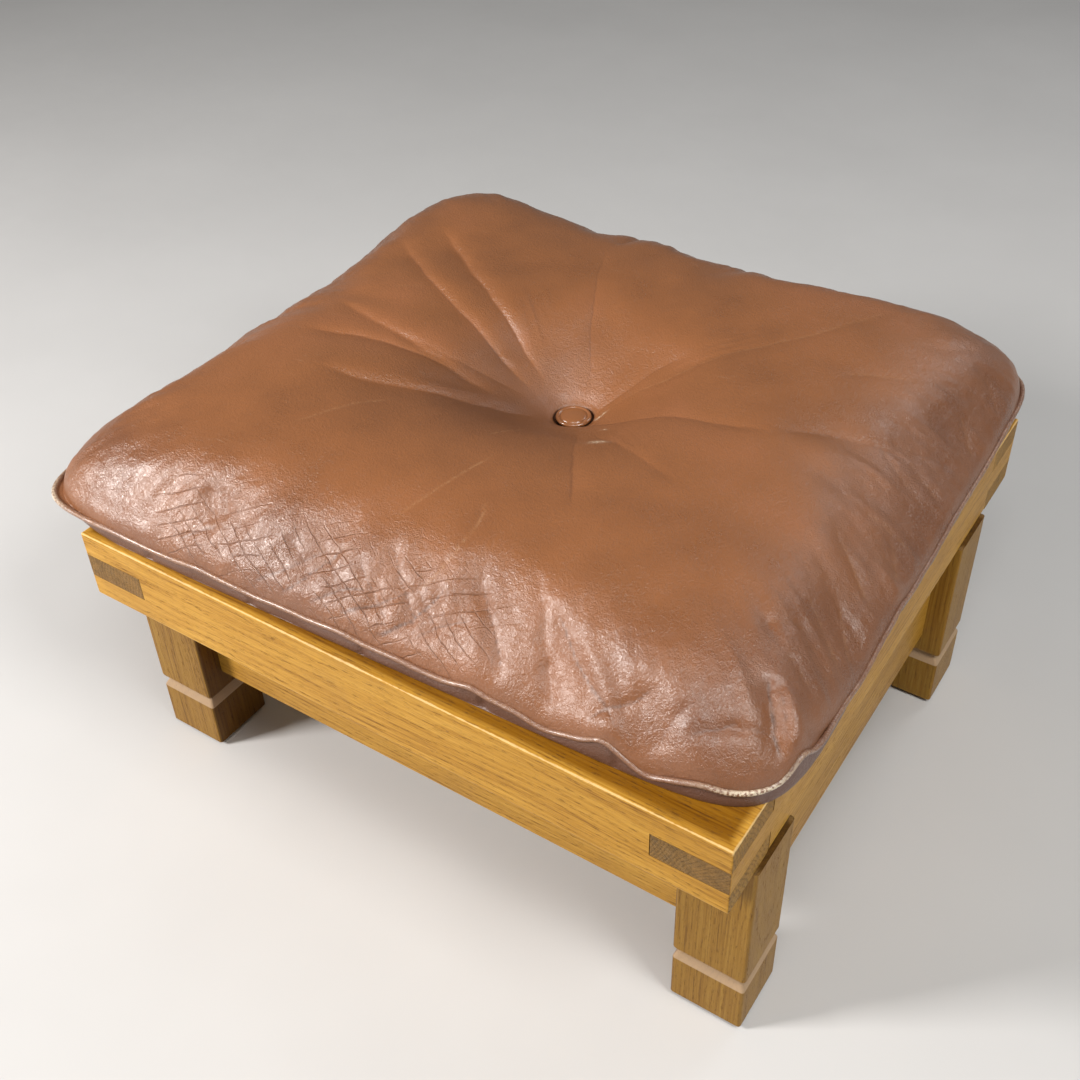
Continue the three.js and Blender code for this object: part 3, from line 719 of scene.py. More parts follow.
def twine_material() -> bpy.types.Material:
    """Waxed linen twine."""
    material, n, shader = new_material("linen_twine")
    source = n.add("TexCoord").outputs["Object"]
    fibre = n.noise(n.stretch(source, (1800.0, 1800.0, 300.0)), 1.0, 3.0, 0.6)
    n.put(shader.inputs["Base Color"], n.ramp(fibre, [(0.3, (0.3, 0.2, 0.11)), (0.7, (0.62, 0.5, 0.33))]))
    n.put(shader.inputs["Roughness"], n.band(fibre, 0.3, 0.7, 0.7, 0.9))
    bump(n, shader, [(fibre, 0.0002, 0.7)])
    return material


# ---------------------------------------------------------------- oak frame
class OakFrame:
    """Rails, legs and aprons. Their shapes are the joiner's; only the finish is given here."""

    def __init__(self) -> None:
        """Builds the two groups that every board shares."""
        self.figure = make_oak_figure()
        self.arris = make_arris_wear_and_highlight()

    def finishes(self) -> list:
        """One finish a board, each cut from its own part of the log; a value below 1 is painted shade."""
        rails = [
            OakFinish("front_rail", Grain.ACROSS, (0.16, 0.10), spacing=0.0042, end_tone=(0.29, 0.155, 0.03)),
            OakFinish("back_rail", Grain.ACROSS, (-0.12, 0.14), spacing=0.0040, end_tone=(0.28, 0.15, 0.03)),
            OakFinish("left_rail", Grain.DEEP, (0.10, -0.17), spacing=0.0038),
            OakFinish("right_rail", Grain.DEEP, (-0.05, 0.15), spacing=0.0036, value=0.94),
        ]
        legs = [
            OakFinish(f"leg_{end}_{side}", Grain.UPRIGHT, pith, spacing=0.0046, value=0.55,
                      groove=(FOOT_TOP, FOOT_TOP + GROOVE), inner=1.0 if side == "left" else -1.0)
            for end, side, pith in (
                ("front", "left", (0.05, -0.06)),
                ("front", "right", (-0.07, 0.04)),
                ("back", "left", (0.09, 0.05)),
                ("back", "right", (-0.04, -0.08)),
            )
        ]
        aprons = [
            OakFinish("front_apron", Grain.ACROSS, (0.03, -0.09), spacing=0.0058, value=0.87),
            OakFinish("back_apron", Grain.ACROSS, (-0.03, -0.10), spacing=0.0056, value=0.87),
            OakFinish("left_apron", Grain.DEEP, (-0.09, 0.02), spacing=0.0055, value=0.87),
            OakFinish("right_apron", Grain.DEEP, (-0.1, 0.03), spacing=0.0057, value=0.87),
        ]
        return rails + legs + aprons

    def dress(self) -> None:
        """Gives each board its oak."""
        for finish in self.finishes():
            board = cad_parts[finish.node]
            board.data.materials.clear()
            board.data.materials.append(finish.material(self.figure, self.arris))
            LOG.info("dressed %s", finish.node)


# ---------------------------------------------------------------- storage box fittings
class StorageBox:
    """Strips, screws, floor, lid and foot pads."""

    def dress_panels(self) -> None:
        """Plywood for the floor and the lid, beech for the strips."""
        for node in ("storage_floor", "lid_panel"):
            low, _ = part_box(node)
            self.cover(node, SheetFinish("birch_" + node).material(low.z))
        beech = {grain: PlainWoodFinish("beech_" + grain.value, grain).material() for grain in Grain}
        for purpose in ("lid", "floor"):
            for side in ("front", "back", "left", "right"):
                grain = Grain.ACROSS if side in ("front", "back") else Grain.DEEP
                self.cover(f"{purpose}_bearer_{side}", beech[grain])

    def cover(self, node: str, material: bpy.types.Material) -> None:
        """Puts one material on a carried-over node."""
        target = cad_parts[node].data.materials
        target.clear()
        target.append(material)

    def dress_screws(self) -> None:
        """Steel for every screw."""
        steel = steel_material()
        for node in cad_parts:
            if "_screw_" in node or node == "button_washer":
                self.cover(node, steel)

    def dress_feet(self) -> None:
        """Felt for the pads."""
        felt = felt_material()
        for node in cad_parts:
            if node.startswith("foot_pad"):
                self.cover(node, felt)


# ---------------------------------------------------------------- cushion
@dataclass(frozen=True)
class Fold:
    """A crease pressed into the cover: a bowed line that is a sharp valley with a slope on each side.

    Left and right are seen by someone who walks from start to end. All in mm from the cushion's middle.
    """

    start: tuple
    end: tuple
    bow: float = 0.0
    depth: float = 1.0
    left: float = 5.0
    right: float = 5.0
    # Strength of the painted shade along the valley line.
    dark: float = 0.3
    pale: float = 0.0

    def line(self, count: int = 28) -> np.ndarray:
        """Points of a parabola from start to end that stands bow away from the chord at its middle."""
        t = np.linspace(0.0, 1.0, count)[:, None]
        a = np.array(self.start, float)
        b = np.array(self.end, float)
        chord = b - a
        side = np.array([-chord[1], chord[0]]) / np.linalg.norm(chord)
        return a + chord * t + side * (4.0 * self.bow) * t * (1.0 - t)

    def press(self, x: np.ndarray, y: np.ndarray) -> tuple:
        """How far the cover is pushed in at each point, how dark its line is painted as shade, and how pale it is.

        The depth falls off as the exponential of the distance from the line, over the left or right width, and
        fades out towards both ends of the line. The line wanders with slow and quick noise.

        Args:
            x: Plan place, mm.
            y: Plan place, mm.

        Returns:
            Depth in mm, painted shade and paleness, one value a point each.
        """
        depth = np.zeros_like(x)
        dark = np.zeros_like(x)
        pale = np.zeros_like(x)
        line = self.line()
        reach = 4.0 * max(self.left, self.right, 3.0)
        near = np.flatnonzero(
            (x > line[:, 0].min() - reach) & (x < line[:, 0].max() + reach)
            & (y > line[:, 1].min() - reach) & (y < line[:, 1].max() + reach)
        )
        if len(near) == 0:
            return depth, dark, pale
        p = np.stack([x[near], y[near]], axis=1)
        wobble = lattice_noise(p[:, 0] + 3.1 * self.bow, p[:, 1], 26.0, 11) * 1.6
        wobble += lattice_noise(p[:, 0], p[:, 1] + 2.3 * self.bow, 7.0, 12) * 0.6
        best = np.full(len(near), 1e9)
        signed = np.zeros(len(near))
        share = np.zeros(len(near))
        for k in range(len(line) - 1):
            a, b = line[k], line[k + 1]
            step = b - a
            t = np.clip(((p - a) @ step) / (step @ step), 0.0, 1.0)
            gap = p - (a + t[:, None] * step)
            distance = np.hypot(gap[:, 0], gap[:, 1])
            closer = distance < best
            side = np.sign(step[0] * gap[:, 1] - step[1] * gap[:, 0])
            best = np.where(closer, distance, best)
            signed = np.where(closer, side * distance, signed)
            share = np.where(closer, (k + t) / (len(line) - 1), share)
        signed = signed + wobble
        away = np.sqrt(signed * signed + 0.5) - 0.5
        away = np.where(best > np.abs(signed) + 4.0, best, away)
        width = np.where(signed > 0, self.left, self.right)
        fade = smooth(share / 0.22) * smooth((1.0 - share) / 0.22)
        end_gap = np.maximum(best - np.abs(signed) - 2.0, 0.0)
        fade = fade * np.exp(-end_gap / 6.0)
        depth[near] = self.depth * np.exp(-away / width) * fade
        line_width = 0.8 + 0.07 * min(self.left, self.right)
        mark = np.exp(-(signed / line_width) ** 2) * fade
        dark[near] = self.dark * mark
        pale[near] = self.pale * mark
        return depth, dark, pale


@dataclass(frozen=True)
class Kink:
    """A place where the welt rides up or down: where along the side, how far, and over what length, mm."""

    side: str
    at: float
    rise: float
    spread: float
    push: float = 0.0


@dataclass
class LeatherCushion:
    """Loose cushion with one button: crowned top, tucked lower panel, corded welt. Sizes in mm."""

    turn: float = math.radians(1.7)
    squareness: float = 11.0
    welt_height: float = 14.0
    welt_radius: float = 2.7
    crown: float = 89.0
    dimple: float = 63.0
    dimple_reach: float = 78.0
    pinch: float = 12.0
    pinch_reach: float = 50.0
    tuft: tuple = (7.6, 4.7)
    button_rim: float = 20.6
    button_level: float = 31.0
    well_floor: float = 26.0
    lattice_side: int = 97
    most_swell: float = 7.0
    held_radius: float = 52.0
    start_height: float = 0.93
    even_passes: int = 4
    sim_frames: int = 20
    clearance: float = 0.4
    columns: int = 840
    top_rings: int = 170
    lower_rings: int = 16
    pleat_spacing: float = 124.0
    pleat_width: float = 4.0
    welt_sides: int = 14

    def __post_init__(self) -> None:
        """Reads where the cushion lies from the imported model."""
        low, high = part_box("cushion_button")
        self.centre = Vector(((low.x + high.x) / 2, (low.y + high.y) / 2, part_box("front_rail")[1].z))
        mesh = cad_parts["cushion_welt"].data
        co = np.zeros(len(mesh.vertices) * 3)
        mesh.vertices.foreach_get("co", co)
        local = self.to_plan(co.reshape(-1, 3))
        self.half = np.abs(local[:, :2]).max(axis=0) - self.welt_radius
        frame_low, frame_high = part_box("front_rail")[0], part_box("back_rail")[1]
        self.frame_low = np.array(frame_low[:2])
        self.frame_high = np.array(frame_high[:2])

    def to_plan(self, points: np.ndarray) -> np.ndarray:
        """Row frame metres to cushion plan mm: less the centre, then turned back."""
        moved = (points - np.array(self.centre)) / MM
        c, s = math.cos(self.turn), math.sin(self.turn)
        return np.stack([moved[:, 0] * c + moved[:, 1] * s, moved[:, 1] * c - moved[:, 0] * s, moved[:, 2]], axis=1)

    def to_row(self, points: np.ndarray) -> np.ndarray:
        """Cushion plan mm to row frame metres."""
        c, s = math.cos(self.turn), math.sin(self.turn)
        x = points[..., 0] * c - points[..., 1] * s
        y = points[..., 0] * s + points[..., 1] * c
        return np.stack([x, y, points[..., 2]], axis=-1) * MM + np.array(self.centre)

    def folds(self) -> list:
        """The cover's creases: the long ones that run to the button, then the small ones by the edges."""
        tuft = [
            ((-319, 152), (-20, -4), -24, 7.0, 7, 30, 0.55), ((-277, 182), (-28, 16), -11, 8.0, 7, 26, 0.45),
            ((-85, 240), (18, 24), -9, 1.6, 6, 9, 0.45), ((-298, -2), (-88, -38), -9, 4.5, 6, 26, 0.3),
            ((-281, -78), (-40, -46), 15, 6.0, 9, 18, 0.5), ((-216, -131), (0, -24), -22, 7.5, 10, 38, 0.35),
            ((42, -34), (134, -207), -5, 4.2, 14, 30, 0.5), ((60, -55), (196, -122), -4, 2.6, 9, 16, 0.3),
            ((22, -8), (240, -6), -10, 4.2, 16, 12, 0.38), ((225, -6), (368, 66), 5, 3.0, 9, 10, 0.35),
            ((18, 12), (254, 289), -34, 1.3, 14, 5, 0.0, 0.55), ((16, 14), (91, 99), -2, 1.6, 7, 7, 0.3),
            ((-30, -10), (-200, -30), 8, 2.5, 10, 14, 0.2),
        ]
        cracks = [
            ((-166, -225), (-107, -128), 3, 0.8, 4, 4, 0.0, 0.6), ((-6, -283), (27, -156), -2, 1.0, 5, 4, 0.0, 0.85),
            ((-2, -138), (12, -87), -1, 0.6, 4, 4, 0.0, 0.5), ((55, -217), (40, -330), 20, 1.2, 5, 4, 0.05, 0.75),
            ((244, 112), (321, 161), 3, 1.0, 6, 5, 0.0, 0.5), ((-245, 40), (-215, 62), 0, 0.5, 4, 4, 0.0, 0.4),
        ]
        left_front = [
            ((-197, -309), (-172, -336), 2, 3.6, 5, 7, 0.27, 0.12),
            ((-178, -303), (-160, -328), -1, 2.9, 5, 6, 0.22, 0.12), ((-205, -350), (-160, -334), 0, 1.7, 4, 4, 0.45),
            ((-120, -352), (-44, -316), -6, 1.9, 4, 4, 0.56), ((-84, -352), (-31, -306), -9, 2.6, 4, 5, 0.72),
            ((-54, -351), (8, -331), 0, 1.9, 4, 4, 0.62), ((-20, -352), (50, -318), -4, 2.2, 4, 4, 0.67),
            ((20, -352), (72, -306), -12, 3.2, 5, 5, 0.83), ((56, -351), (112, -326), 2, 1.9, 4, 4, 0.51),
            ((-96, -319), (-44, -347), 1, 1.8, 4, 4, 0.38), ((-58, -312), (-5, -348), -2, 2.3, 4, 5, 0.45),
            ((-21, -313), (38, -350), 0, 2.4, 4, 5, 0.51), ((5, -292), (68, -350), -2, 3.6, 5, 7, 0.56),
            ((40, -318), (86, -351), 3, 1.9, 4, 4, 0.38), ((96, -292), (156, -350), -4, 4.2, 6, 8, 0.56),
            ((140, -270), (194, -348), 0, 2.4, 5, 6, 0.34),
        ]
        right_front = [
            ((168, -290), (262, -350), -8, 5.2, 7, 9, 0.63), ((158, -290), (172, -326), 1, 2.5, 5, 6, 0.15, 0.12),
            ((180, -326), (202, -350), -2, 3.1, 4, 5, 0.31), ((226, -350), (276, -314), -7, 3.8, 5, 6, 0.63),
            ((292, -350), (310, -312), 2, 2.5, 4, 5, 0.42), ((312, -338), (344, -306), -2, 3.4, 5, 6, 0.57),
            ((344, -262), (386, -312), -4, 5.2, 5, 6, 0.63), ((352, -262), (382, -298), 1, 3.8, 4, 5, 0.53),
            ((346, -345), (384, -312), -6, 4.1, 4, 5, 0.73), ((338, -318), (372, -300), 3, 3.1, 4, 5, 0.42),
            ((316, -236), (366, -196), 7, 2.8, 6, 6, 0.11, 0.18),
        ]
        right_side = [
            ((322, -80), (390, -132), 4, 1.8, 5, 6, 0.12, 0.5), ((334, -40), (390, -34), 2, 1.8, 5, 6, 0.12, 0.5),
            ((338, -170), (388, -206), 4, 1.7, 5, 6, 0.15, 0.4), ((346, -236), (386, -250), 1, 1.4, 4, 5, 0.2, 0.3),
            ((318, 54), (376, 26), -4, 2.0, 8, 8, 0.15, 0.3), ((322, 58), (386, 108), -4, 2.2, 6, 8, 0.45),
            ((360, 168), (392, 138), 4, 1.5, 5, 6, 0.15, 0.3), ((350, 60), (390, 48), -2, 1.5, 5, 6, 0.15, 0.3),
            ((362, -144), (390, -190), 2, 1.2, 4, 5, 0.1, 0.4), ((370, -40), (391, -84), 2, 1.2, 4, 5, 0.1, 0.4),
            ((360, 240), (392, 214), 2, 1.5, 5, 6, 0.2, 0.2),
        ]
        far_sides = [
            ((-390, 150), (-330, 118), 4, 2.0, 6, 7, 0.3, 0.2), ((-390, 40), (-338, 20), 3, 1.8, 5, 7, 0.3, 0.2),
            ((-390, -110), (-336, -92), -3, 1.8, 5, 7, 0.3, 0.2),
            ((-388, -220), (-330, -214), 4, 1.8, 6, 6, 0.3, 0.2), ((-250, 350), (-222, 300), 3, 1.8, 5, 7, 0.3),
            ((-140, 350), (-112, 298), -4, 2.0, 6, 7, 0.35), ((-84, 352), (-86, 250), 4, 2.6, 6, 9, 0.6),
            ((60, 352), (52, 296), 3, 1.8, 6, 6, 0.3), ((190, 350), (170, 300), -3, 1.8, 6, 7, 0.3),
            ((300, 348), (268, 306), 4, 1.8, 6, 7, 0.3),
        ]
        rows = tuft + cracks + left_front + right_front + right_side + far_sides
        return [Fold(*row) for row in rows]

    def kinks(self) -> list:
        """Where the welt leaves its straight line."""
        rows = [
            ("front", -230, -2.0, 40), ("front", -173, 2.0, 18), ("front", -105, -2.0, 22),
            ("front", -12, 2.5, 22), ("front", 73, -1.5, 18), ("front", 124, 5.0, 16),
            ("front", 194, -6.0, 20), ("front", 249, 9.0, 15), ("front", 288, -7.5, 17),
            ("front", 334, 4.0, 16), ("right", -292, 15.0, 15, 1.0), ("right", -255, 4.0, 16, 2.0),
            ("right", -180, -5.0, 24), ("right", -126, 3.0, 18), ("right", -88, 7.0, 18),
            ("right", -12, -4.0, 26), ("right", 60, 3.0, 22), ("right", 150, -2.0, 30),
            ("right", 230, 3.0, 26), ("back", 250, 3.0, 24), ("back", 120, -3.0, 26),
            ("back", -85, 6.0, 12), ("back", -200, -3.0, 30), ("left", 220, 3.0, 26),
            ("left", 90, -4.0, 30), ("left", -60, 4.0, 22), ("left", -210, -3.0, 28),
        ]
        return [Kink(*row) for row in rows]

    def outline(self, grow: float) -> np.ndarray:
        """The plan outline, evenly spaced along its length.

        A superellipse: x to the power n over a to the n, plus the same for y, is 1. Three corners are pulled out a
        little, as a bell of the distance from the corner.

        Args:
            grow: Added to both half sizes, mm.

        Returns:
            One row of x and y for each column.
        """
        t = np.linspace(0.0, 2.0 * np.pi, 20001)
        c, s = np.cos(t), np.sin(t)
        power = 2.0 / self.squareness
        x = (self.half[0] + grow) * np.sign(c) * np.abs(c) ** power
        y = (self.half[1] + grow) * np.sign(s) * np.abs(s) ** power
        length = np.concatenate([[0.0], np.cumsum(np.hypot(np.diff(x), np.diff(y)))])
        even = np.arange(self.columns) / self.columns * length[-1]
        edge = np.stack([np.interp(even, length, x), np.interp(even, length, y)], axis=1)
        for sign, pull in (((-1, -1), 6.3), ((1, 1), 4.2), ((-1, 1), 2.1)):
            corner = np.array(sign) * self.half * 0.97
            bell = np.exp(-(np.hypot(*(edge - corner).T) / 55.0) ** 2)
            edge = edge + bell[:, None] * np.array(sign) * pull
        return edge

    def square_norm(self, u: np.ndarray, v: np.ndarray) -> np.ndarray:
        """Superellipse norm of unit coordinates: the n-th root of u to the n plus v to the n, never quite 0."""
        return (np.abs(u) ** self.squareness + np.abs(v) ** self.squareness) ** (1.0 / self.squareness) + 1e-9

    def level(self, x: np.ndarray, y: np.ndarray) -> np.ndarray:
        """How far out a plan point lies: 0 at the middle, 1 on the outline.

        It is the superellipse norm, whose exponent grows from 2 to the squareness as the level squared, so the
        crown is round in the middle and square at the edge. Found by repeated substitution.
        """
        qx = np.abs(x) / self.half[0] + 1e-12
        qy = np.abs(y) / self.half[1] + 1e-12
        s = np.maximum(qx, qy)
        for _ in range(14):
            m = 2.0 + (self.squareness - 2.0) * np.minimum(s, 1.0) ** 2
            s = 0.5 * s + 0.5 * (qx ** m + qy ** m) ** (1.0 / m)
        return s

    def crown_height(self, x: np.ndarray, y: np.ndarray) -> np.ndarray:
        """Height over the welt line: a flat-topped dome less the hollow that the button pulls.

        The dome is a little fuller at the back left and a little flatter at the front left.
        """
        s = np.minimum(self.level(x, y), 1.0)
        left = smooth((-x - 100.0) / 220.0)
        back_left = left * smooth((y - 20.0) / 250.0)
        front_left = left * smooth((-y - 100.0) / 200.0)
        dome = self.crown * np.sqrt(1.0 - s ** 4) * (1.0 + 0.11 * back_left - 0.06 * front_left)
        radius = np.hypot(x - self.tuft[0], y - self.tuft[1])
        hollow = self.dimple / (1.0 + (radius / self.dimple_reach) ** 2)
        pinched = self.pinch * np.exp(-np.maximum(radius - self.button_rim, 0.0) / self.pinch_reach)
        return dome - (hollow + pinched) * smooth((1.0 - s) / 0.35)

    def welt_wave(self, edge: np.ndarray) -> np.ndarray:
        """Rise and outward push of the welt at each column, mm, from its kinks and a slow wave."""
        x, y = edge[:, 0], edge[:, 1]
        weight = {
            "front": smooth((-y - self.half[1] + 40.0) / 40.0),
            "back": smooth((y - self.half[1] + 40.0) / 40.0),
            "right": smooth((x - self.half[0] + 40.0) / 40.0),
            "left": smooth((-x - self.half[0] + 40.0) / 40.0),
        }
        rise = lattice_noise(x, y, 48.0, 5) * 1.0
        push = lattice_noise(x, y, 60.0, 8) * 1.2
        for kink in self.kinks():
            place = x if kink.side in ("front", "back") else y
            bell = np.exp(-((place - kink.at) / kink.spread) ** 2) * weight[kink.side]
            rise = rise + kink.rise * bell
            push = push + kink.push * bell
        return np.stack([rise, push], axis=1)

    def swell(self) -> np.ndarray:
        """Simulates the filled cover: a lattice held at its welt and its button, blown up by the filling.

        Returns:
            How far each lattice point moved from the plain crown, mm, evened out between neighbours.
        """
        count = self.lattice_side
        u = np.linspace(-1.0, 1.0, count)
        uu, vv = np.meshgrid(u, u, indexing="ij")
        top = np.maximum(np.abs(uu), np.abs(vv)) + 1e-9
        norm = self.square_norm(uu, vv)
        x = uu * self.half[0] * top / norm
        y = vv * self.half[1] * top / norm
        rest = np.stack([x, y, self.crown_height(x, y)], axis=-1)
        shrunk = rest * np.array([1.0, 1.0, self.start_height])
        index = np.arange(count * count).reshape(count, count)
        quads = np.stack([index[:-1, :-1], index[1:, :-1], index[1:, 1:], index[:-1, 1:]], axis=-1).reshape(-1, 4)
        cover = mesh_object("cover_in_press", shrunk.reshape(-1, 3) * MM, quads)
        held = (top.ravel() > 0.995) | (np.hypot(x - self.tuft[0], y - self.tuft[1]).ravel() < self.held_radius)
        group = cover.vertex_groups.new(name="held")
        group.add([int(i) for i in np.flatnonzero(held)], 1.0, "REPLACE")
        cloth = cover.modifiers.new("cover", "CLOTH")
        for name, value in {
            "quality": 6, "mass": 0.4, "tension_stiffness": 12, "compression_stiffness": 12, "shear_stiffness": 4,
            "bending_stiffness": 0.6, "vertex_group_mass": "held", "use_pressure": True,
            "uniform_pressure_force": 4.0, "shrink_min": -0.035,
        }.items():
            setattr(cloth.settings, name, value)
        cloth.settings.effector_weights.gravity = 0.0
        cloth.collision_settings.use_collision = False
        cloth.point_cache.frame_start = 1
        cloth.point_cache.frame_end = self.sim_frames
        for number in range(1, self.sim_frames + 1):
            bpy.context.scene.frame_set(number)
        evaluated = cover.evaluated_get(bpy.context.evaluated_depsgraph_get())
        co = np.zeros(count * count * 3)
        evaluated.data.vertices.foreach_get("co", co)
        moved = co.reshape(count, count, 3) / MM - rest
        bpy.context.scene.frame_set(1)
        bpy.data.objects.remove(cover)
        length = np.linalg.norm(moved, axis=-1, keepdims=True) + 1e-9
        moved = moved * np.minimum(1.0, self.most_swell / length)
        for _ in range(self.even_passes):
            moved[1:-1, 1:-1] = (moved[:-2, 1:-1] + moved[2:, 1:-1] + moved[1:-1, :-2] + moved[1:-1, 2:]) / 4
        LOG.info("cover swelled by %.1f mm at most", float(length.max()))
        return moved

    def sample(self, field: np.ndarray, x: np.ndarray, y: np.ndarray) -> np.ndarray:
        """Reads a lattice field at plan points by straight-line interpolation between its four neighbours."""
        qx, qy = x / self.half[0], y / self.half[1]
        top = np.maximum(np.abs(qx), np.abs(qy)) + 1e-9
        norm = self.square_norm(qx, qy)
        count = field.shape[0]
        u = np.clip((qx * norm / top + 1.0) / 2.0 * (count - 1), 0, count - 1.001)
        v = np.clip((qy * norm / top + 1.0) / 2.0 * (count - 1), 0, count - 1.001)
        i, j = u.astype(int), v.astype(int)
        fu, fv = (u - i)[..., None], (v - j)[..., None]
        near = field[i, j] * (1 - fu) + field[i + 1, j] * fu
        far = field[i, j + 1] * (1 - fu) + field[i + 1, j + 1] * fu
        return near * (1 - fv) + far * fv

    def top_surface(self, edge: np.ndarray, wave: np.ndarray) -> tuple:
        """The top panel from the button to the welt: the crown, the swelling, the folds, then the rucks by the rim.

        Args:
            edge: Outline where the panel meets the welt, mm.
            wave: Rise and push of the welt at each column.

        Returns:
            Points as rings by columns by 3, and the attribute values of each by name.
        """
        phi = np.linspace(math.asin(self.button_rim / self.half[1]), np.pi / 2, self.top_rings)
        s = np.sin(phi)[:, None]
        angle = np.arctan2(edge[:, 1], edge[:, 0])
        mean = self.half.mean()
        square = smooth((s - 0.05) / 0.6)
        x = s * (square * edge[:, 0] + (1 - square) * mean * np.cos(angle)) + (1.0 - s) * self.tuft[0]
        y = s * (square * edge[:, 1] + (1 - square) * mean * np.sin(angle)) + (1.0 - s) * self.tuft[1]
        z = self.crown_height(x, y)
        from_button = np.hypot(x - self.tuft[0], y - self.tuft[1])
        moved = self.sample(self.swell(), x, y) * smooth((from_button - 45.0) / 110.0)[..., None]
        fx, fy = x.ravel(), y.ravel()
        press = np.zeros_like(fx)
        dark = np.zeros_like(fx)
        pale = np.zeros_like(fx)
        for fold in self.folds():
            d, k, p = fold.press(fx, fy)
            press += d
            dark = np.maximum(dark, k)
            pale = np.maximum(pale, p)
        wide = lattice_noise(fx, fy, 110.0, 21) * 2.2 + lattice_noise(fx, fy, 52.0, 22) * 1.1
        level = self.level(fx, fy)
        rim = smooth((level - 0.70) / 0.22)
        along = np.arctan2(fy / self.half[1], fx / self.half[0]) * 460.0
        ruck = lattice_noise(along, level * 160.0, 17.0, 31) * 1.3 + lattice_noise(along, level * 90.0, 8.0, 32) * 0.6
        crazed = lattice_noise(fx + fy, fx - fy, 11.0, 33) * 0.45
        press += -wide + rim * (ruck + crazed)
        press = press * smooth((1.0 - level) / 0.02)
        points = np.stack([x, y, z], axis=-1) + moved
        points = points - self.normals(points) * press.reshape(x.shape)[..., None]
        near = smooth((s - 0.86) / 0.14)
        back = smooth((y - 100.0) / 220.0)
        points[..., 2] += self.welt_height + wave[:, 0] * near + 2.5 * back * (1.0 - near)
        tuck = np.exp(-((from_button - self.button_rim) / 7.0) ** 2)
        points[..., 2] = points[..., 2] * (1 - tuck) + self.button_level * tuck
        # Painted shade on the hollow's wall to the front left of the button.
        hollow_shade = 0.5 * np.exp(-((x + 20.0) / 150.0) ** 2 - ((y + 75.0) / 95.0) ** 2)
        rim_shade = 0.4 * np.exp(-((from_button - self.button_rim) / 2.0) ** 2)
        # The crease mark is painted shade: along the fold lines, on the hollow's wall and in a thin ring at the
        # button's rim.
        marks = {
            "crease": np.maximum(np.maximum(dark.reshape(x.shape), hollow_shade), rim_shade),
            "pale": pale.reshape(x.shape),
            "worn": self.scuffs(x, y),
            "net": self.net_window(x, y, level.reshape(x.shape)),
            "rim": smooth((level.reshape(x.shape) - 0.72) / 0.2),
            "under": np.zeros_like(x),
        }
        # Painted shadow in the groove along the seam above the welt.
        marks["crease"][-3:] = 0.7
        return self.add_well(points, marks)

    def scuffs(self, x: np.ndarray, y: np.ndarray) -> np.ndarray:
        """Rubbed-through spots: a white one by the button and a nick beside it, each a stretched bell."""
        total = np.zeros_like(x)
        for across, deep, length, width, tilt in ((88.0, -84.0, 8.0, 4.2, 0.45), (34.0, 15.0, 5.0, 1.6, 0.9),
                                                  (72.0, -44.0, 3.0, 1.2, 0.2)):
            c, s = math.cos(tilt), math.sin(tilt)
            run = (x - across) * c + (y - deep) * s
            off = (y - deep) * c - (x - across) * s
            total = np.maximum(total, np.exp(-(run / length) ** 2 - (off / width) ** 2))
        return total

    def net_window(self, x: np.ndarray, y: np.ndarray, level: np.ndarray) -> np.ndarray:
        """Share of the fine crease net: full along the left of the front edge, faint round the rest of the rim."""
        along = smooth((x + 265.0) / 50.0) * smooth((165.0 - x) / 60.0)
        front = along * smooth((-y - 284.0) / 30.0)
        return np.maximum(0.9 * front, 0.16 * smooth((level - 0.84) / 0.1))

    def add_well(self, points: np.ndarray, marks: dict) -> tuple:
        """Adds the dark well that the button sits in: rings that drop from the leather's rim to the seat, dark with
        painted shade.

        Args:
            points: Rings of the top panel, the first round the button.
            marks: Attribute values on the same grid.

        Returns:
            The longer grid and its marks.
        """
        rings = []
        for shrink, share in ((0.95, 0.0), (0.962, 0.4), (0.98, 0.8)):
            ring = points[0].copy()
            ring[:, :2] = (ring[:, :2] - self.tuft) * shrink + self.tuft
            ring[:, 2] = self.well_floor + (ring[:, 2] - self.well_floor) * share
            rings.append(ring)
        longer = {}
        for name, values in marks.items():
            # The well's rings get painted shade through the crease mark.
            inner = np.full((3, values.shape[1]), 0.95 if name == "crease" else 0.0)
            longer[name] = np.concatenate([inner, values])
        return np.concatenate([np.stack(rings), points]), longer

    def normals(self, points: np.ndarray) -> np.ndarray:
        """Unit normals of a ring grid, from the cross product of its two differences."""
        around = np.roll(points, -1, axis=1) - np.roll(points, 1, axis=1)
        outward = np.gradient(points, axis=0)
        n = np.cross(outward, around)
        return n / (np.linalg.norm(n, axis=-1, keepdims=True) + 1e-12)

    def contact(self, edge: np.ndarray) -> np.ndarray:
        """Share of each column's outline radius at which the underside leaves the frame or turns up.

        The smaller of a fixed inset and of where the ray from the middle crosses the frame's edge, smoothed along
        the outline so that the corners come out round.
        """
        radius = np.hypot(edge[:, 0], edge[:, 1])
        side = smooth((edge[:, 0] - 350.0) / 30.0) * smooth((edge[:, 1] + 240.0) / 40.0)
        inset = 1.0 + (2.0 - 6.0 * side) / radius
        row = self.to_row(np.concatenate([edge, np.zeros((len(edge), 1))], axis=1))[:, :2]
        middle = np.array(self.centre[:2])
        ray = row - middle
        high = (self.frame_high - np.array([-0.05, 0.006]) - middle) / np.where(ray > 1e-6, ray, 1e6)
        low = (self.frame_low + np.array([0.006, 0.001]) - middle) / np.where(ray < -1e-6, ray, -1e6)
        high = np.where(ray > 1e-6, high, 9.0)
        low = np.where(ray < -1e-6, low, 9.0)
        share = np.minimum(inset, np.minimum(high.min(axis=1), low.min(axis=1)))
        window = np.hanning(31)
        padded = np.concatenate([share[-15:], share, share[:15]])
        return np.convolve(padded, window / window.sum(), mode="valid")

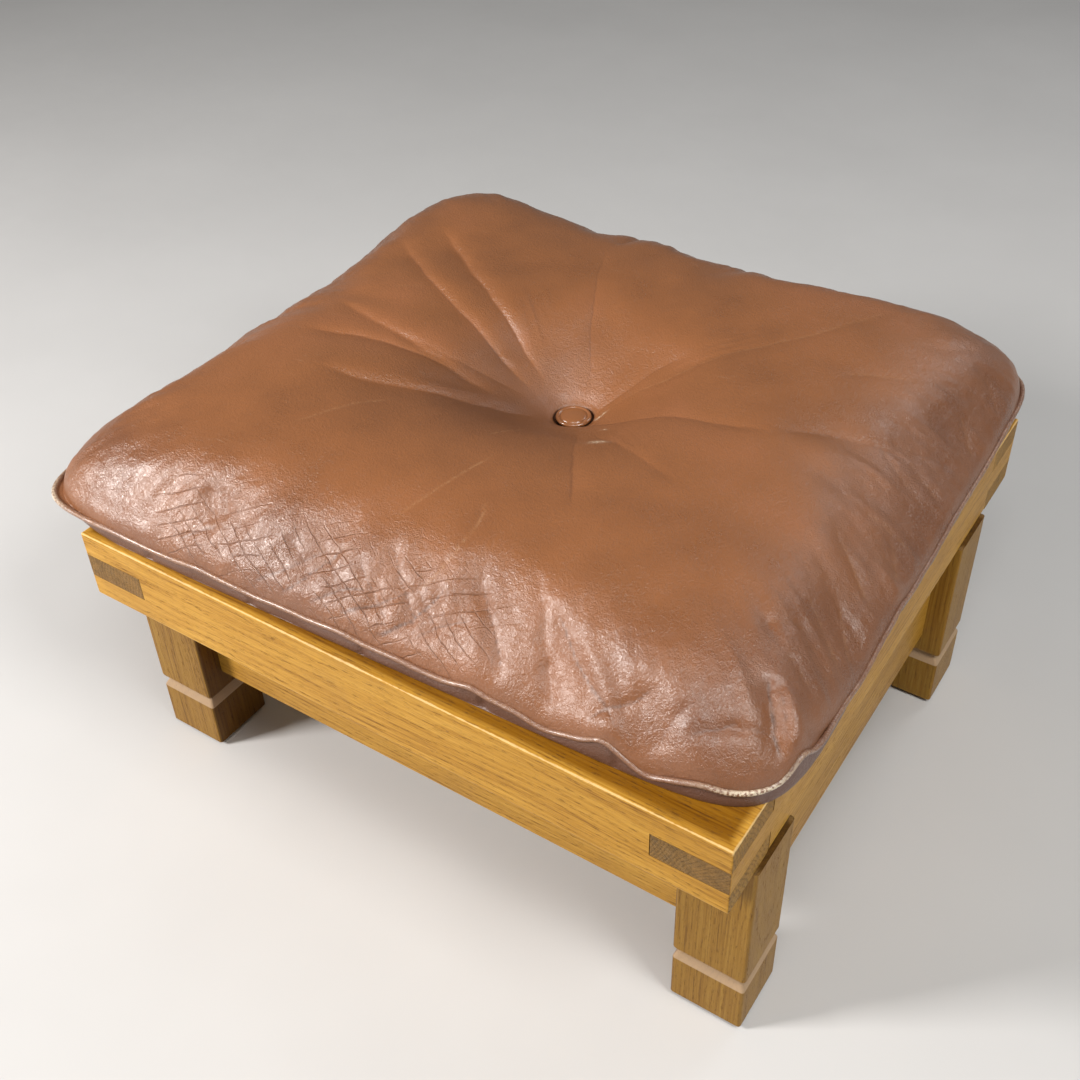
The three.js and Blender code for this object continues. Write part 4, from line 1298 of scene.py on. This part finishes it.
    def lower_surface(self, edge: np.ndarray, wave: np.ndarray) -> np.ndarray:
        """The lower panel from the welt down to the frame, then the flat underside to near the middle.

        The panel is a quarter ellipse from the welt line to the contact line, pressed in at each pleat.

        Args:
            edge: Outline where the panel meets the welt, mm.
            wave: Rise and push of the welt.

        Returns:
            Points as rings by columns by 3.
        """
        share = self.contact(edge)[None, :]
        t = np.linspace(0.0, 1.0, self.lower_rings)[1:, None] * np.pi / 2
        out = np.cos(t) ** 0.75
        drop = np.sin(t)
        radius_share = share + (1.0 - share) * out
        step = np.cumsum(np.hypot(*(np.roll(edge, -1, axis=0) - edge).T))
        pleat = np.abs(((step - 60.0) / self.pleat_spacing) % 1.0 - 0.5) * 2.0
        pinch = np.exp(-((1.0 - pleat) * self.pleat_spacing / 2 / self.pleat_width) ** 2)[None, :]
        bulge = np.sin(2 * t) * (1.4 + lattice_noise(step, np.zeros_like(step), 34.0, 41)[None, :] * 1.2 - pinch * 2.4)
        size = np.hypot(edge[:, 0], edge[:, 1])[None, :]
        x = edge[:, 0] * (radius_share + bulge / size)
        y = edge[:, 1] * (radius_share + bulge / size)
        top = self.welt_height + wave[:, 0][None, :]
        z = self.clearance + (top - self.clearance) * (1.0 - drop)
        panel = np.stack([x, y, z], axis=-1)
        inner = np.array([0.97, 0.9, 0.75, 0.5, 0.25, 0.08])[:, None]
        flat = np.stack([
            edge[:, 0] * share * inner, edge[:, 1] * share * inner, np.full((6, len(edge)), self.clearance),
        ], axis=-1)
        return np.concatenate([panel, flat])

    def build_pad(self, hide: bpy.types.Material) -> bpy.types.Object:
        """The stuffed cover as one closed mesh, with its crease marks as attributes."""
        edge = self.outline(0.0)
        wave = self.welt_wave(edge)
        top, marks = self.top_surface(edge, wave)
        lower = self.lower_surface(edge, wave)
        rings = np.concatenate([top, lower])
        points = rings.reshape(-1, 3)
        count = len(points)
        poles = np.array([[*self.tuft, self.well_floor], [0.0, 0.0, self.clearance]])
        faces = ring_faces(len(rings), self.columns)[:, ::-1]
        tris = np.concatenate([
            pole_faces(count, 0, self.columns, False),
            pole_faces(count + 1, count - self.columns, self.columns, True),
        ])
        pad = mesh_object("leather_cushion", self.to_row(np.concatenate([points, poles])), faces, tris)
        # The lower panel and underside take the full under mark, painted shade beneath the rolled edge.
        below = {"net": 0.1, "rim": 0.5, "under": 1.0}
        for name, values in marks.items():
            rest = np.full(len(points) + 2 - values.size, below.get(name, 0.0))
            point_attribute(pad, name, np.concatenate([values.ravel(), rest]))
        pad.data.materials.append(hide)
        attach(pad, "cushion")
        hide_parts("cushion_pad")
        return pad

    def build_welt(self, hide: bpy.types.Material) -> bpy.types.Object:
        """The corded welt: a round section carried along the outline, following its kinks.

        Returns:
            The welt, worn pale at its corners.
        """
        edge = self.outline(0.0)
        wave = self.welt_wave(edge)
        sides = self.welt_sides
        along = np.roll(edge, -1, axis=0) - np.roll(edge, 1, axis=0)
        along = along / np.linalg.norm(along, axis=1, keepdims=True)
        outward = np.stack([along[:, 1], -along[:, 0]], axis=1)
        step = np.cumsum(np.hypot(*(np.roll(edge, -1, axis=0) - edge).T))
        thick = self.welt_radius * (1.0 + 0.07 * lattice_noise(step, np.zeros_like(step), 9.0, 51))
        angle = np.arange(sides) / sides * 2 * np.pi
        out = (thick[:, None] * np.cos(angle)) + wave[:, 1][:, None] + 0.6
        x = edge[:, 0][:, None] + outward[:, 0][:, None] * out
        y = edge[:, 1][:, None] + outward[:, 1][:, None] * out
        z = self.welt_height + wave[:, 0][:, None] + thick[:, None] * np.sin(angle)
        points = np.stack([x, y, z], axis=-1).reshape(-1, 3)
        welt = mesh_object("corded_welt", self.to_row(points), ring_faces(len(edge), sides, True))
        corner = np.array([[1, -1], [-1, -1], [-1, 1], [1, 1]]) * self.half * 0.955
        near = np.stack([np.hypot(*(edge - c).T) for c in corner], axis=1)
        worn = (np.exp(-(near / np.array([34.0, 26.0, 16.0, 16.0])) ** 2) * np.array([1.0, 0.8, 0.5, 0.4])).max(axis=1)
        upper = 0.55 + 0.45 * np.cos(angle)[None, :]
        point_attribute(welt, "worn", np.clip(worn[:, None] * 1.3 * upper, 0, 1).ravel())
        for name, value in (("crease", 0.0), ("net", 0.0), ("rim", 0.0), ("under", 0.75)):
            point_attribute(welt, name, np.full(len(points), value))
        # Paler along the cord's upper outer face, more in some stretches than others.
        welt_paleness = 0.5 + 0.5 * lattice_noise(step, np.zeros_like(step), 22.0, 52)
        face = np.clip(np.cos(angle - 0.9), 0, 1) ** 3
        point_attribute(welt, "pale", (welt_paleness[:, None] * face[None, :]).ravel())
        welt.data.materials.append(hide)
        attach(welt, "cushion")
        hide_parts("cushion_welt")
        return welt

    def build_button(self, hide: bpy.types.Material) -> bpy.types.Object:
        """Leather-covered button: flat back, rolled rim, a groove inside the rim and a low dome."""
        low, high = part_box("cushion_button")
        radius = (high.x - low.x) / 2
        t = np.linspace(0.0, 1.0, 18)
        roll = np.linspace(-0.9, 2.5, 16)
        rim_r = radius - 0.0021 + 0.0021 * np.cos(roll)
        rim_z = 0.0054 + 0.0021 * np.sin(roll)
        dome_r = (radius - 0.0048) * np.cos(t * np.pi / 2)
        dome_z = 0.0062 + 0.0032 * np.sin(t * np.pi / 2) ** 0.8
        back = np.array([0.002, 0.006, 0.012, radius - 0.004])
        profile_r = np.concatenate([back, rim_r, dome_r[:-1], [0.0006]])
        profile_z = np.concatenate([[0, 0, 0, 0.0004], rim_z, dome_z[:-1], [dome_z[-1]]])
        middle = self.to_row(np.array([*self.tuft, 0.0]))
        button = lathe("covered_button", profile_r, profile_z, Vector((middle[0], middle[1], low.z)), 72)
        count = len(button.data.vertices)
        for name in MARKS:
            point_attribute(button, name, np.zeros(count))
        button.data.materials.append(hide)
        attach(button, "cushion")
        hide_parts("cushion_button")
        return button


# ---------------------------------------------------------------- studio
@dataclass(frozen=True)
class Studio:
    """Pale floor, soft lights and the camera."""

    azimuth: float = 31.86
    elevation: float = 38.66
    distance: float = 1.35
    lens: float = 44.03
    shift: tuple = (-0.0556, -0.0278)

    def floor(self) -> None:
        """A wide pale floor under the feet."""
        material, n, shader = new_material("pale_floor")
        source = n.add("TexCoord").outputs["Object"]
        colour = n.ramp(n.noise(source, 3.0, 3.0), [(0.3, (0.60, 0.60, 0.595)), (0.7, (0.63, 0.63, 0.625))])
        n.put(shader.inputs["Base Color"], colour)
        n.put(shader.inputs["Roughness"], n.band(n.noise(source, 40.0), 0.3, 0.7, 0.62, 0.7))
        corners = np.array([[-6, -6, 0], [6, -6, 0], [6, 6, 0], [-6, 6, 0]], float)
        plane = mesh_object("studio_floor", corners, np.array([[0, 1, 2, 3]]))
        plane.data.materials.append(material)

    def lamp(self, name: str, place: tuple, size: float, power: float, colour: tuple) -> None:
        """A square soft light aimed at the cushion."""
        data = bpy.data.lights.new(name, "AREA")
        data.shape = "SQUARE"
        data.size = size
        data.energy = power
        data.color = colour
        lamp = bpy.data.objects.new(name, data)
        lamp.location = place
        lamp.rotation_euler = (Vector((0.0, 0.0, 0.3)) - Vector(place)).to_track_quat("-Z", "Y").to_euler()
        bpy.context.scene.collection.objects.link(lamp)

    def lights(self) -> None:
        """A low key from the front left, panels on the right and above the front, a weak one behind, an even sky."""
        self.lamp("key", (-1.75, -2.0, 1.72), 0.65, 104.0, (1.0, 0.96, 0.93))
        self.lamp("right_panel", (2.3, -0.6, 2.7), 1.1, 58.0, (1.0, 0.98, 0.95))
        self.lamp("overhead", (0.75, -1.15, 2.9), 0.8, 20.0, (1.0, 0.98, 0.96))
        self.lamp("rear_panel", (1.05, 2.5, 2.1), 1.1, 12.0, (0.98, 0.98, 1.0))
        world = bpy.data.worlds.new("studio")
        world.use_nodes = True
        background = world.node_tree.nodes["Background"]
        background.inputs[0].default_value = (1.0, 0.99, 0.97, 1)
        background.inputs[1].default_value = 0.13
        bpy.context.scene.world = world
        bpy.context.scene.view_settings.view_transform = "Standard"

    def camera(self) -> None:
        """Camera at the viewing angle, aimed a little to the right of the frame's middle."""
        low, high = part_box("front_rail")[0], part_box("back_rail")[1]
        target = Vector(((low.x + high.x) / 2 + 0.027, (low.y + high.y) / 2 + 0.003, 0.267))
        a, e = math.radians(self.azimuth), math.radians(self.elevation)
        back = Vector((math.sin(a) * math.cos(e), -math.cos(a) * math.cos(e), math.sin(e)))
        data = bpy.data.cameras.new("camera")
        data.lens = self.lens
        data.sensor_width = 36.0
        data.shift_x, data.shift_y = self.shift
        camera = bpy.data.objects.new("camera", data)
        camera.location = target + back * self.distance
        camera.rotation_euler = (-back).to_track_quat("-Z", "Y").to_euler()
        bpy.context.scene.collection.objects.link(camera)
        bpy.context.scene.camera = camera


def main() -> None:
    """Builds and dresses the ottoman, then the studio."""
    logging.basicConfig(level=logging.INFO, format="%(name)s: %(message)s")
    OakFrame().dress()
    box = StorageBox()
    box.dress_panels()
    box.dress_screws()
    box.dress_feet()
    box.cover("tuft_twine", twine_material())
    groups = (make_hide(), make_crease_net())
    hide = LeatherFinish("cushion_hide").material(*groups)
    welt_hide = LeatherFinish(
        "welt_hide", rough=0.2, coat=0.5, pebble=0.0012, lower=(0.2, 0.1, 0.065),
    ).material(*groups)
    button_hide = LeatherFinish("button_hide", rough=0.16, coat=0.7, pebble=0.0016, grain_depth=0.00005,
                                swell_depth=0.0003).material(*groups)
    cushion = LeatherCushion()
    for piece in (cushion.build_pad(hide), cushion.build_welt(welt_hide), cushion.build_button(button_hide)):
        LOG.info("built %s with %d faces", piece.name, len(piece.data.polygons))
    studio = Studio()
    studio.floor()
    studio.lights()
    studio.camera()


if __name__ == "__main__":
    main()
